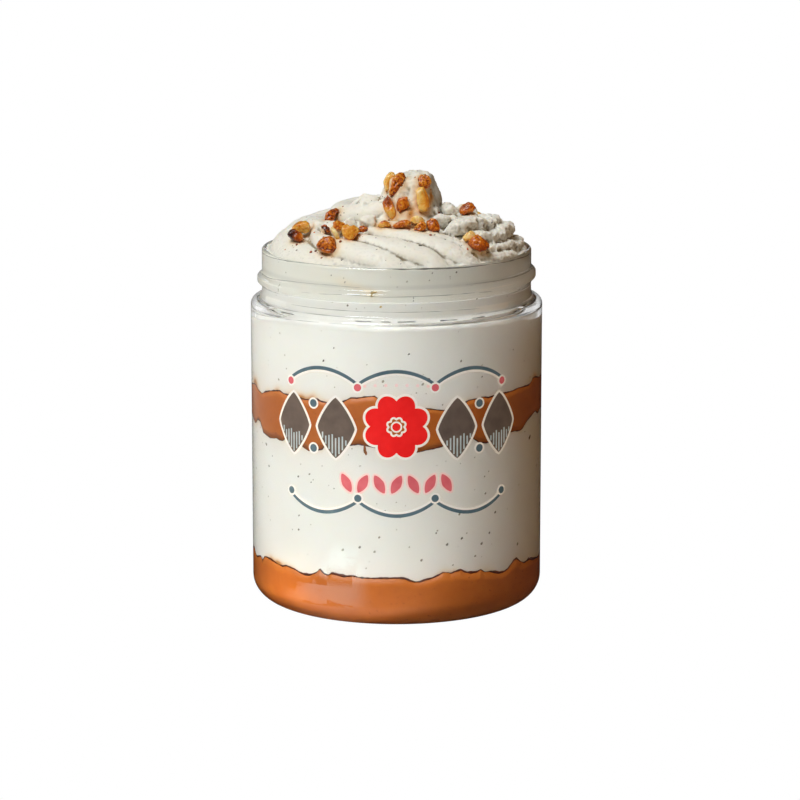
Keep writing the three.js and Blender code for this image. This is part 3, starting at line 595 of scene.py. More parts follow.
def hoops(profile):
    return [polar(DEG, r, z) for r, z in profile]


def layer(name, rings, mat, nodes):
    verts, faces = tube(rings)
    ob = make(name, verts, faces, mat)
    outward(ob)
    for k in ("stain", "shade", "seam"):
        ob.data.attributes.new(k, "FLOAT", "POINT")
    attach(ob, "root")
    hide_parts(*nodes)
    return ob


def wall(z0, z1, count, near=0.0):
    """Rings up the wall from one edge to the next, closer together near the ragged edges."""
    k = np.linspace(0, 1, count + 2)[1:-1]
    if near:
        fine = np.arange(1, 9) * near
        k = np.concatenate([fine, k[(k > fine[-1]) & (k < 1 - fine[-1])], 1 - fine[::-1]])
    return [polar(DEG, FILL_R, z0 + (z1 - z0) * f) for f in k]


ih = HEEL_R - 0.95
base_rings = hoops([(10, 2.3), (22.4, 2.3), (24.3, 1.0), (27.0, 1.0)] + arc(FILL_R - ih, 1.0 + ih, ih, -90, 0, 10))
top_b, bot_m, top_m = EDGE["bottom_top"], EDGE["middle_bottom"], EDGE["middle_top"]
layer("praline_base", base_rings + wall(5.05, top_b, 2) + cap_rings("bottom_top", FILL_R, 0)[::-1], PRALINE, ["praline_bottom"])
lower = layer("vanilla_layer", cap_rings("bottom_top", FILL_R, 0) + wall(top_b, bot_m, 24, 0.009) + cap_rings("middle_bottom", FILL_R, 0)[::-1], CREAM, ["cream_middle"])
layer("praline_band", cap_rings("middle_bottom", FILL_R, 0) + wall(bot_m, top_m, 6) + cap_rings("middle_top", FILL_R, 0)[::-1], PRALINE, ["praline_middle"])
# the cream doesn't quite fill the corner under the shoulder, most of all at the two sides
CORNER = 0.5 * np.abs(np.sin(np.radians(DEG))) ** 14
shoulder = [polar(DEG, FILL_R - CORNER * k, z) for k, z in ((0.0, 64.6), (0.1, 64.9), (0.35, 65.3), (0.7, 65.8), (1.0, 66.2))]
shoulder += [polar(DEG, r - CORNER * (0.9 - 0.6 * i / 5), z - CORNER * (0.25 + 0.35 * i / 5))
             for i, (r, z) in enumerate(arc(BODY_R - WALL - 1.0, 66.4, 1.0, 22, 84, 6))]
shoulder += [polar(DEG, BORE_R + 1.05, 67.58 - CORNER * 0.5)]
shoulder += hoops([(BORE_R + 0.5, 67.75), (BORE_R + 0.15, 68.25)]
                 + [(NECK_FILL_R, z) for z in np.linspace(69.0, 72.25, 14)] + [(15, 72.25)])
upper = layer("vanilla_upper", cap_rings("middle_top", FILL_R, 0) + wall(top_m, 64.5, 18, 0.018) + shoulder, CREAM, ["cream_top"])


# Dark caramel line along each boundary: a thin uneven ribbon on the wall.
def edge_line(name, key, offset, thick, seed):
    rs = np.array([noise.noise(Vector((9 * math.cos(a), 9 * math.sin(a), seed))) for a in np.radians(DEG)])
    rf = np.array([noise.noise(Vector((40 * math.cos(a), 40 * math.sin(a), seed + 5))) for a in np.radians(DEG)])
    half = np.clip(thick * (1 + 1.1 * rs + 0.7 * rf), 0.03, 0.5)
    z = EDGE[key] + offset
    sect = [(FILL_R - 0.25, 0.0), (FILL_R + 0.02, -1.0), (FILL_R + 0.035, 0.0), (FILL_R + 0.02, 1.0)]
    rings = [polar(DEG, r, z + s * half) for r, s in sect]
    n = len(DEG)
    verts = [tuple(p) for ring in rings for p in ring]
    faces = []
    for i in range(4):
        for j in range(n):
            k = (j + 1) % n
            a, b = i * n, ((i + 1) % 4) * n
            faces.append((a + j, a + k, b + k, b + j))
    ob = make(name, verts, faces, SYRUP)
    outward(ob)
    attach(ob, "root")


edge_line("caramel_line_low", "bottom_top", 0.05, 0.19, 3.0)
edge_line("caramel_line_mid", "middle_bottom", -0.03, 0.12, 9.0)
edge_line("caramel_line_high", "middle_top", 0.05, 0.16, 15.0)

# Where caramel has bled into the cream beside a boundary: degrees, spread, amount, reach.
BLEEDS = {
    "bottom_top": (1, [(-56, 6, 1.1, 0.9), (-47, 3, 0.7, 0.7), (20, 3, 0.7, 0.8), (38, 3.5, 0.3, 1.2), (62, 5, 0.3, 1.0), (118, 9, 0.7, 1.0),
                       (170, 8, 0.5, 0.8), (-135, 10, 0.8, 1.0), (-98, 7, 0.5, 0.8), (0, 400, 0.16, 0.5)]),
    "middle_bottom": (-1, [(-76, 5, 0.6, 1.0), (-44, 5, 0.45, 0.8), (-30, 4, 0.35, 0.6), (58, 6, 0.3, 0.7), (122, 8, 0.5, 0.9), (-160, 9, 0.6, 0.9),
                           (-112, 6, 0.5, 0.8), (0, 400, 0.14, 0.5)]),
    "middle_top": (1, [(-76, 5, 1.1, 1.7), (-62, 2, 0.5, 0.8), (-55, 2.4, 0.6, 0.9), (-40, 6.5, 1.2, 1.15), (-29, 3, 0.6, 0.7), (26, 5, 0.35, 0.8), (72, 6, 0.6, 1.2),
                       (110, 9, 0.7, 1.1), (160, 8, 0.6, 0.9), (-140, 10, 0.9, 1.1), (-104, 8, 0.8, 1.2), (0, 400, 0.16, 0.6)]),
}


def bleed(ob, key):
    side, rows = BLEEDS[key]
    p = np.empty(len(ob.data.vertices) * 3)
    ob.data.vertices.foreach_get("co", p)
    p = p.reshape(-1, 3) / MM
    deg = np.degrees(np.arctan2(p[:, 0], -p[:, 1]))
    away = (p[:, 2] - np.interp(deg % 360, DEG, EDGE[key], period=360)) * side
    old = np.empty(len(p))
    ob.data.attributes["stain"].data.foreach_get("value", old)
    wander = np.array([noise.noise(Vector((d * 0.23, away_ * 0.3, side * 3.0))) for d, away_ in zip(deg, np.clip(away, -1, 6))])
    for at, spread, amount, reach in rows:
        d = (deg - at + 540) % 360 - 180
        a = amount * np.exp(-0.5 * (d / spread) ** 2) * (1 + 0.9 * wander)
        old = np.maximum(old, a * np.exp(-(np.maximum(away, 0) / reach) ** 1.6))
    old[(np.hypot(p[:, 0], p[:, 1]) < FILL_R - 0.5) | (away < -0.01)] = 0
    ob.data.attributes["stain"].data.foreach_set("value", np.clip(old, 0, 0.95))


bleed(lower, "bottom_top")
low_stain = np.empty(len(lower.data.vertices))
lower.data.attributes["stain"].data.foreach_get("value", low_stain)
bleed(lower, "middle_bottom")
mid_stain = np.empty(len(lower.data.vertices))
lower.data.attributes["stain"].data.foreach_get("value", mid_stain)
lower.data.attributes["stain"].data.foreach_set("value", np.maximum(low_stain, mid_stain))
bleed(upper, "middle_top")


# ----------------------------------------------------------------------- swirl
_r = np.linspace(0, 31, 311)
_z = np.interp(_r, MOUND_R, MOUND_Z)
_k = np.exp(-0.5 * (np.arange(-20, 21) / 7) ** 2)
_z = np.convolve(np.pad(_z, 20, mode="edge"), _k / _k.sum(), mode="valid")


def mound_z(r):
    return np.interp(r, _r, _z)


def ridge(via, w, h, lift, rough, tilt, seed):
    span = via[-1][0] - via[0][0]
    count = int(span * 1.6) + 12
    path = catmull(via, count)
    deg, rad = path[:, 0], path[:, 1]
    p = polar(deg, rad, mound_z(rad) + lift)
    along = np.gradient(p, axis=0)
    along /= np.linalg.norm(along, axis=1)[:, None]
    slope = (mound_z(rad + 0.8) - mound_z(np.maximum(0, rad - 0.8))) / 1.6
    up = polar(deg, np.minimum(1.2, -slope), 1.0)
    up /= np.linalg.norm(up, axis=1)[:, None]
    side = np.cross(along, up)
    side /= np.linalg.norm(side, axis=1)[:, None]
    out = np.cross(side, along)
    # tilted, the outer edge of a ridge laps over its neighbour
    ct, st = math.cos(math.radians(tilt)), math.sin(math.radians(tilt))
    side, out = side * ct + out * st, out * ct - side * st
    s = np.linspace(0, 1, count)
    grow = np.minimum(1, 0.3 + 1.6 * s)
    rings = []
    m = 40
    for i in range(count):
        a, b = w * grow[i], h * (0.6 + 0.4 * grow[i])
        c = p[i] - out[i] * (b + (1 - grow[i]) * 1.2)
        t = (np.arange(m) + 0.5) / m * 2 * math.pi
        # a rounded crest, a little fuller than an ellipse
        cx, sy = np.cos(t), np.sin(t)
        q = (np.abs(cx) ** 2.1 + np.abs(sy) ** 2.1) ** (-1 / 2.1)
        ring = c + side[i] * (a * q * cx)[:, None] * 1.04 + out[i] * (b * q * sy)[:, None] * 1.02
        # frills: the crest breaks into small torn folds
        if rough > 0:
            for k in range(m):
                if sy[k] < -0.2:
                    continue
                v = Vector(ring[k])
                f = noise.noise(v * 0.9 + Vector((seed, 0, 0))) * 0.45 + noise.noise(v * 2.1 + Vector((0, seed, 0))) * 0.28
                g = noise.noise(v * 0.35 + Vector((0, 0, seed))) * 0.5
                d = rough * (f * 0.9 + g * 0.5) + 0.1 * g
                nrm = side[i] * cx[k] / a + out[i] * sy[k] / b
                nrm /= np.linalg.norm(nrm)
                ring[k] = ring[k] + nrm * d
        rings.append(ring)
    return tube(rings)


def tier(via, w, h, rough, seed):
    """A ragged lip: a slab with a torn, pleated outer edge."""
    span = via[-1][0] - via[0][0]
    count = int(span * 2.2) + 16
    path = catmull([p[:2] for p in via], count)
    zz = catmull([(p[0], p[2]) for p in via], count)[:, 1]
    m = 56
    rings = []
    for i in range(count):
        s = i / (count - 1)
        grow = min(1, 0.35 + 4.0 * s, 0.35 + 3.0 * (1 - s))
        deg, ro, zt = path[i, 0], path[i, 1], zz[i]
        d = np.array([math.sin(math.radians(deg)), -math.cos(math.radians(deg)), 0])
        t = (np.arange(m) + 0.5) / m * 2 * math.pi
        cx, sy = np.cos(t), np.sin(t)
        q = (np.abs(cx) ** 3 + np.abs(sy) ** 3) ** (-1 / 3)
        # the lip leans outwards and its foot tucks under
        a, b = w * grow, h * grow
        x = ro - w + a * q * cx + 0.18 * b * q * sy
        z = zt - h + b * q * sy + 0.12 * a * q * cx
        ring = d[None, :] * x[:, None] + np.array([0, 0, 1.0])[None, :] * z[:, None]
        arc_len = math.radians(deg) * ro
        wave = noise.noise(Vector((arc_len * 0.28, seed, 0))) * 0.9
        pleat = noise.noise(Vector((arc_len * 0.62, seed + 4, 0))) * 0.9
        for k in range(m):
            if cx[k] < -0.55:
                continue
            v = Vector(ring[k])
            fine = noise.noise(v * 1.5 + Vector((seed, 0, 0))) * 0.3 + noise.noise(v * 0.75 + Vector((0, seed, 0))) * 0.5
            face = max(0.0, cx[k])
            top = max(0.0, sy[k])
            push = rough * (face * (pleat * 1.1 + fine * 0.8) + 0.25 * fine)
            rise = rough * (top * (wave * 0.75 + fine * 0.6))
            ring[k] = ring[k] + d * push + np.array([0, 0, rise])
        rings.append(ring)
    return tube(rings)


def lump(deg, r, size, lift, seed):
    """A soft blob of cream."""
    c = polar(deg, r, float(mound_z(r)) + lift)
    verts, rows = [], []
    for i in range(13):
        f = math.pi * i / 12
        row = []
        for j in range(20):
            g = 2 * math.pi * j / 20
            n = Vector((math.sin(f) * math.cos(g), math.sin(f) * math.sin(g), math.cos(f)))
            k = size * (1 + 0.35 * noise.noise(n * 1.6 + Vector((seed, 0, 0))))
            row.append(c + np.array(n) * k * np.array([1.15, 1.0, 0.85]))
        rows.append(np.array(row))
    return tube(rows[1:-1])


def peak():
    P = PEAK
    prof = P["profile"]
    ss = np.linspace(0, 1, 60)
    rr = np.interp(ss, [q[0] for q in prof], [q[1] for q in prof])
    k = np.exp(-0.5 * (np.arange(-6, 7) / 2.2) ** 2)
    rr2 = np.convolve(np.pad(rr, 6, mode="edge"), k / k.sum(), mode="valid")
    rr2[-3:] = rr[-3:] * [0.95, 0.9, 0.8]
    rings = []
    for s, r in zip(ss, rr2):
        t = np.arange(96) / 96 * 2 * math.pi
        lobe = 1 + P["depth"] * np.cos(P["lobes"] * t + P["twist"] * s * P["lobes"])
        lean = np.where(np.cos(t) < 0, 1 - 0.14 * min(1, s / 0.4), 1.0)
        x = P["x"] + (P["tx"] - P["x"]) * s + r * lobe * np.cos(t) * lean
        y = P["y"] + (P["ty"] - P["y"]) * s + r * lobe * np.sin(t) * (1.08 if s < 0.4 else 1)
        z = P["base"] + (P["top"] - P["base"]) * s + 0.45 * max(0, s - 0.7) / 0.3 * np.cos(t - 0.2)
        # the right flank is cut off flat, as if the nozzle was pulled away
        fx, fy = 0.95, -0.31
        over = np.maximum(0, fx * (x - P["x"]) + fy * (y - P["y"]) - 0.86 * r)
        x, y = x - fx * over, y - fy * over
        rings.append(np.stack([x, y, z], -1))
    return tube(rings)


def build_swirl():
    foot = 72.1
    prof = [(0, foot), (NECK_FILL_R, foot), (NECK_FILL_R, 79.3), (NECK_FILL_R - 0.35, 79.6)]
    prof += [(r, mound_z(r) - CORE_DROP * (1 if r < 27 else 0.7)) for r in (28.0, 27.0, 25, 22, 18, 14, 10, 5)]
    prof += [(0, 89.6)]
    verts, faces = spin(prof, 180)
    verts, faces = list(verts), list(faces)
    parts = [ridge(*row, 3.7 * i) for i, row in enumerate(RIDGES)]
    parts += [tier(*row, 5.3 * i + 2) for i, row in enumerate(TIERS)]
    parts += [lump(*row, 2.9 * i) for i, row in enumerate(LUMPS)]
    for v, f in parts:
        v = np.array(v)
        # nothing passes the mouth of the jar
        r = np.hypot(v[:, 0], v[:, 1])
        lim = np.where(v[:, 2] < 79.9, NECK_FILL_R - 0.02, NECK_FILL_R + np.clip((v[:, 2] - 79.9) * 0.5, 0, 0.5))
        k = np.minimum(1, lim / np.maximum(r, 1e-6))
        v[:, 0] *= k
        v[:, 1] *= k
        off = len(verts)
        verts += [tuple(p) for p in v]
        faces += [tuple(q + off for q in face) for face in f]
    v, f = peak()
    off = len(verts)
    verts += [tuple(p) for p in v]
    faces += [tuple(q + off for q in face) for face in f]
    ob = make("swirl_tmp", verts, faces, None)
    outward(ob)
    md = ob.modifiers.new("remesh", "REMESH")
    md.mode = "VOXEL"
    md.voxel_size = 0.22 * MM
    md.adaptivity = 0.0
    sm = ob.modifiers.new("smooth", "SMOOTH")
    sm.factor = 0.5
    sm.iterations = 2
    dg = bpy.context.evaluated_depsgraph_get()
    me = bpy.data.meshes.new_from_object(ob.evaluated_get(dg))
    me.name = "whipped_swirl"
    out = bpy.data.objects.new("whipped_swirl", me)
    scene.collection.objects.link(out)
    bpy.data.objects.remove(ob)
    me.materials.clear()
    me.materials.append(WHIPPED)
    me.polygons.foreach_set("use_smooth", [True] * len(me.polygons))
    # fine grain of whipped cream
    n = len(me.vertices)
    co = np.empty(n * 3)
    no = np.empty(n * 3)
    me.vertices.foreach_get("co", co)
    me.vertices.foreach_get("normal", no)
    co, no = co.reshape(-1, 3), no.reshape(-1, 3)
    d = np.zeros(n)
    for i in range(n):
        if co[i, 2] > 0.0795:
            v = Vector(co[i]) * 1000
            knob = max(0.0, 1 - max(0.0, math.hypot(v.x - 2.9, v.y + 5.5) - 6.5) / 2.5) if v.z > 87 else 0.0
            rad = math.hypot(v.x, v.y)
            deg = math.degrees(math.atan2(v.x, -v.y)) % 360
            torn = min(1, max(0, (deg - 24) / 10)) * min(1, max(0, (170 - deg) / 16)) * min(1, max(0, (rad - 14.5) / 1.5)) * (1 - knob)
            d[i] = torn * (0.15 * noise.noise(v * 1.25 + Vector((3, 0, 0))) + 0.13 * noise.noise(v * 2.4)) + (0.10 + 0.32 * knob) * noise.noise(Vector((v.x * 0.55, v.y * 0.55, v.z * 0.3))) + (0.07 + 0.08 * knob) * noise.noise(v * 1.4) + (0.045 + 0.02 * knob) * noise.noise(v * 3.2)
    co += no * d[:, None] * MM
    me.vertices.foreach_set("co", co.ravel())
    me.update()
    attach(out, "root")
    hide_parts("cream_swirl")
    return out


swirl = build_swirl()
for k in ("stain", "shade", "seam"):
    swirl.data.attributes.new(k, "FLOAT", "POINT")


def coords(ob):
    co = np.empty(len(ob.data.vertices) * 3)
    ob.data.vertices.foreach_get("co", co)
    return co.reshape(-1, 3) / MM


def neck_shade(ob):
    """Painted shade on the cream behind the neck and in the shoulder corner: bands at set heights, darkest behind the
    thread and in the corner, and darker towards the sides at the shoulder.
    """
    p = coords(ob)
    r = np.hypot(p[:, 0], p[:, 1])
    z = np.interp(p[:, 2], [66.0, 66.8, 67.4, 68.2, 69.2, 70.0, 70.4, 72.2, 72.8, 74.6, 75.1, 75.6, 76.1, 78.9, 79.5],
                  [0.0, 0.42, 0.62, 0.5, 0.2, 0.18, 0.27, 0.25, 0.12, 0.14, 0.42, 0.42, 0.22, 0.24, 0.0])
    deg = np.degrees(np.arctan2(p[:, 0], -p[:, 1]))
    z = z * (1 + 0.5 * np.clip((np.abs(deg) - 35) / 30, 0, 1) * (p[:, 2] < 69.5))
    z[(r < 28.7) | (p[:, 2] > 79.4)] = 0
    ob.data.attributes["shade"].data.foreach_set("value", z)


neck_shade(swirl)
neck_shade(upper)


def blurred(vals, a, b, deg, times):
    for _ in range(times):
        acc = np.empty_like(vals)
        for k in range(vals.shape[1]):
            acc[:, k] = np.bincount(a, vals[b, k], len(vals)) + np.bincount(b, vals[a, k], len(vals))
        vals = 0.5 * vals + 0.5 * acc / deg[:, None]
    return vals


def crease_shade(ob):
    """Painted shade in the creases between the ridges: darker the sharper the hollow, with painted dark shadow lines in
    the sharpest creases.
    """
    me = ob.data
    n = len(me.vertices)
    e = np.empty(len(me.edges) * 2, dtype=np.int64)
    me.edges.foreach_get("vertices", e)
    a, b = e[0::2], e[1::2]
    deg = np.maximum(1, np.bincount(a, minlength=n) + np.bincount(b, minlength=n)).astype(float)
    no = np.empty(n * 3)
    me.vertices.foreach_get("normal", no)
    no = no.reshape(-1, 3)
    p = coords(ob)
    fine = blurred(p, a, b, deg, 8)
    broad = blurred(fine, a, b, deg, 40)
    c1 = ((fine - p) * no).sum(1)
    c2 = ((broad - fine) * no).sum(1)
    calm = blurred(p, a, b, deg, 5)
    c0 = ((blurred(calm, a, b, deg, 14) - calm) * no).sum(1)
    hollow = np.clip((c1 - 0.004) / 0.03, 0, 1) * 0.6 + np.clip((c2 - 0.03) / 0.2, 0, 1) * 0.35
    hollow = blurred(hollow[:, None], a, b, deg, 1)[:, 0]
    broken = np.array([noise.noise(Vector(q) * 0.5) for q in p])
    seam = np.clip((c0 - 0.04) / 0.03, 0, 1) * np.clip(0.8 + 0.8 * broken, 0.25, 0.95)
    seam[(p[:, 2] < 79.9) | (np.hypot(p[:, 0], p[:, 1]) > 29.6)] = 0
    me.attributes["seam"].data.foreach_set("value", seam)
    old = np.empty(n)
    me.attributes["shade"].data.foreach_get("value", old)
    me.attributes["shade"].data.foreach_set("value", np.clip(old + np.where(p[:, 2] > 79.2, hollow * 0.7, 0), 0, 1))


crease_shade(swirl)


def flank_shade(ob):
    """Painted shade on the cut flank of the peak and on the torn faces of the tiers that turn away from the light."""
    p = coords(ob)
    no = np.empty(len(p) * 3)
    ob.data.vertices.foreach_get("normal", no)
    no = no.reshape(-1, 3)
    old = np.empty(len(p))
    ob.data.attributes["shade"].data.foreach_get("value", old)
    knob = np.clip((no[:, 0] - 0.45) / 0.3, 0, 1) * np.clip((p[:, 0] - 6.0) / 1.2, 0, 1) * np.clip((p[:, 2] - 85.5) / 2, 0, 1) * (np.hypot(p[:, 0] - 2.9, p[:, 1] + 5.3) < 9.5)
    deg = np.degrees(np.arctan2(p[:, 0], -p[:, 1]))
    r = np.hypot(p[:, 0], p[:, 1])
    tiers = np.clip((deg - 30) / 12, 0, 1) * np.clip((165 - deg) / 14, 0, 1) * np.clip((r - 15) / 2, 0, 1) * (p[:, 2] > 80) * np.clip((0.62 - no[:, 2]) / 0.4, 0, 1)
    ob.data.attributes["shade"].data.foreach_set("value", np.clip(np.maximum(old, 0.95 * knob) + (0.48 + 0.2 * ((r > 23.3) & (deg > 62))) * tiers, 0, 1))


flank_shade(swirl)
print("swirl faces", len(swirl.data.polygons))

# ------------------------------------------------------------------------ nuts
def surface_tree(ob):
    me = ob.data
    return BVHTree.FromPolygons([v.co / MM for v in me.vertices], [tuple(q.vertices) for q in me.polygons])


swirl_tree = surface_tree(swirl)

NUT_TONES = {}
for sp in frame["record"]["subparts"]:
    if sp["node"].startswith("nut_"):
        NUT_TONES[sp["node"]] = sp["material_slot"].replace("nut_", "")


def node_object(name):
    for o in bpy.data.objects:
        if o.name == name:
            return o
    raise KeyError(name)


# How toasted each nut is: level, change per mm to the right, change per mm upwards, roughness. The changes across a
# piece are partly real toasting and partly painted shade on a side turned from the light, as on nut_15's darker right.
TOAST_AND_SHADE = {
    "nut_01": (0.68, 0.03, -0.05, 0.5), "nut_02": (0.22, 0.17, 0.0, 0.5), "nut_03": (0.42, 0.0, -0.03, 0.9), "nut_04": (0.34, 0.0, 0.0, 1.0),
    "nut_05": (0.54, 0.0, 0.0, 0.8), "nut_06": (0.64, -0.02, 0.03, 0.5), "nut_07": (0.92, 0.0, 0.0, 0.4), "nut_08": (0.26, 0.0, 0.0, 1.0),
    "nut_09": (0.42, 0.0, 0.03, 1.0), "nut_10": (0.80, -0.03, 0.0, 0.4), "nut_11": (0.44, -0.02, 0.0, 1.2), "nut_12": (0.58, 0.02, -0.13, 0.4),
    "nut_13": (0.47, 0.0, -0.02, 0.6), "nut_14": (0.47, 0.0, 0.0, 1.4), "nut_15": (0.72, -0.1, 0.0, 0.4), "nut_16": (0.66, 0.0, -0.3, 0.7),
    "nut_17": (0.5, 0.06, -0.1, 0.9), "nut_18": (0.84, 0.0, 0.0, 0.5), "nut_19": (0.48, 0.0, 0.04, 1.1), "nut_20": (0.37, 0.0, 0.03, 0.8),
    "nut_21": (0.39, 0.0, 0.0, 0.8), "nut_22": (0.84, -0.02, 0.0, 0.5), "nut_23": (0.35, -0.02, 0.05, 0.7), "nut_24": (0.55, 0.0, 0.0, 0.9),
    "nut_25": (0.74, 0.0, 0.0, 0.6), "nut_26": (0.48, 0.0, 0.0, 1.0), "nut_27": (0.66, 0.0, 0.0, 0.6), "nut_28": (0.44, 0.0, 0.0, 1.0),
    "nut_29": (0.80, 0.0, 0.0, 0.5),
}
# Front outlines of the pieces that face forward: millimetres right and up of the middle of each.
NUT_OUTLINES = {
    "nut_01": [(-1.9, -0.51), (-1.7, 0.27), (-0.77, 1), (0.12, 1.4), (1.2, 1.4), (1.9, 1), (2.2, 0.16), (1.9, -0.73), (1, -1.2), (-0.1, -0.95),
               (-0.99, -1.1)],
    "nut_02": [(-1.9, 0.32), (-1.4, 1.3), (-0.49, 1.6), (0.39, 1.1), (1.4, 0.43), (1.5, -0.56), (0.94, -1.4), (-0.047, -1.1), (-1.1, -0.67)],
    "nut_03": [(-1.3, -3.1), (-1.5, -1.3), (-1.3, 0.24), (-0.42, 1), (0.47, 1.5), (1.5, 1.2), (1.1, 0.24), (0.47, -0.87), (0.47, -2.2), (0.025, -3.4),
               (-0.86, -3.5)],
    "nut_04": [(-1.2, 0.19), (-0.31, 0.52), (0.56, -0.14), (0.78, -1.1), (-0.095, -1.4), (-0.97, -0.69)],
    "nut_05": [(-1.4, 0.88), (-0.27, 1.3), (0.83, 0.66), (1.5, 0.0019), (1, -0.99), (-0.05, -0.88), (-0.71, -1.1), (-1.4, -0.22)],
    "nut_06": [(-1.8, 1.6), (-0.92, 1.9), (-0.16, 1.4), (0.6, 1.7), (1.5, 1), (1.7, 0.18), (0.82, -0.91), (-0.051, -1.9), (-0.92, -1.4), (-1.8,
               -0.59), (-2.1, 0.4)],
    "nut_07": [(-0.99, 1.8), (-0.23, 1.3), (0.53, 0.38), (0.97, -0.71), (0.53, -1.8), (-0.12, -0.71), (-0.77, 0.6)],
    "nut_08": [(-1.1, -0.48), (-0.14, 0.4), (0.95, -0.041), (1.1, -0.81), (-0.14, -1.1), (-1, -1.1)],
    "nut_09": [(-2.2, -1), (-1.5, 0.35), (-0.3, 1.0), (0.9, 1.4), (1.8, 0.8), (2.3, -0.4), (3, -1.7), (1.8, -2.2), (0.026, -2.2), (-1.6, -1.6)],
    "nut_10": [(-1.1, -1.8), (-1.2, -0.25), (-0.7, 1.1), (0.19, 1.8), (1.1, 1.6), (1.3, 0.63), (0.52, -0.7), (-0.036, -2.2), (-0.81, -2.6)],
    "nut_11": [(-0.99, 1.4), (-0.22, 2.3), (0.44, 2.7), (1.3, 2.6), (1.8, 1.8), (1.3, 1.1), (1.1, -0.22), (0.22, -1.2), (-0.88, -2.2), (-1.5, -2.5),
               (-2, -1.7), (-1.5, -0.22)],
    "nut_12": [(-1.5, 1.2), (-1, 2.2), (-0.31, 2.7), (0.35, 2), (1, 0.87), (1.3, -0.45), (1.5, -1.8), (0.79, -2.5), (0.13, -2.1), (-0.57, -1), (-1.2,
               0.098)],
    "nut_13": [(-1.6, 0.16), (-1.2, 1.6), (-0.071, 2), (0.81, 1.9), (1, 0.82), (1.4, 0.054), (0.26, -0.83), (-0.95, -1.6), (-1.4, -0.83)],
    "nut_14": [(-1.6, 0.61), (-0.93, 1.4), (0.063, 1.7), (0.94, 1.2), (1.3, 0.056), (1.2, -1), (0.28, -1.4), (-0.6, -1.1), (-1.5, -0.5)],
    "nut_15": [(-1.8, 2.2), (-1.3, 3), (0.051, 3), (0.71, 1.7), (1.2, 0.14), (1.1, -1.4), (0.6, -2.4), (-0.39, -2.5), (-1, -2.3), (-1.5, -0.3)],
    "nut_16": [(-1.5, -0.61), (-0.73, 0.24), (0.14, 0.64), (1, 0.044), (1.6, -0.72), (0.36, -1), (-0.95, -1.1)],
    "nut_17": [(-2.1, -0.82), (-1.1, -0.013), (-0.0019, 0.47), (1.3, 0.47), (2.1, -0.057), (1.3, -0.63), (-0.0019, -0.84), (-1.1, -1.1)],
    "nut_18": [(-1.8, -0.17), (-1.3, 0.8), (-0.031, 1.1), (1.3, 0.8), (1.8, 0.05), (0.63, -0.39), (-0.69, -0.61)],
    "nut_19": [(-1.4, -1.4), (-1.2, -0.39), (-0.39, 0.48), (0.37, 1.2), (1.1, 0.7), (1.4, -0.39), (0.7, -1.2), (-0.17, -1), (-0.72, -1.5)],
    "nut_20": [(-1.5, 0.49), (-0.64, 1.2), (0.46, 1.1), (0.9, 0.49), (1.3, -0.82), (1.2, -1.7), (0.02, -1.8), (-1.1, -1.5), (-1.5, -0.6)],
    "nut_21": [(-1.8, -0.33), (-1, 0.9), (0.098, 1.4), (1.2, 1.2), (1.8, 0.23), (1.2, -0.48), (0.098, -0.75), (-0.79, -1.4), (-1.6, -1.2)],
    "nut_22": [(-1.7, -0.36), (-0.98, 0.63), (0.11, 1.1), (1.1, 0.63), (0.88, -0.36), (-0.1, -1), (-1.2, -1.1)],
    "nut_23": [(-2.5, -0.0023), (-1.6, 1.2), (-0.46, 1.9), (0.63, 1.2), (1.8, 0.33), (2.2, -0.66), (1.4, -1.5), (0.19, -1.9), (-0.9, -1.3), (-2,
               -0.9)],
}
LEAN = math.radians(11.6)          # the outlines stand square to this downward slant
PROUD = {"nut_09": -1.3, "nut_12": 0.9, "nut_13": 0.9, "nut_15": 0.3, "nut_17": 0.3, "nut_18": 0.4}   # stand this much further out
NUT_POINTS = []


def outline_piece(name, middle, depth):
    """A flat-backed broken piece standing on its front outline, narrowed towards front and back."""
    pts = np.array(NUT_OUTLINES[name])
    closed = np.vstack([pts, pts[:1]])
    fine = []
    for a, b in zip(closed, closed[1:]):
        fine += [a + (b - a) * f for f in (0, 0.34, 0.67)]
    fine = np.array(fine)
    if np.sum(fine[:, 0] * np.roll(fine[:, 1], -1) - np.roll(fine[:, 0], -1) * fine[:, 1]) < 0:
        fine = fine[::-1]
    c = fine.mean(0)
    up, back = np.array([0, math.sin(LEAN), math.cos(LEAN)]), np.array([0, math.cos(LEAN), -math.sin(LEAN)])
    rings = []
    for f, k in ((-0.5, 0.78), (-0.4, 0.94), (-0.2, 1.0), (0.15, 1.0), (0.35, 0.9), (0.5, 0.66)):
        q = c + (fine - c) * k
        rings.append(middle - back * PROUD.get(name, 0) + np.array([1, 0, 0]) * q[:, :1] + up * q[:, 1:] + back * (f * depth))
    return tube(rings)


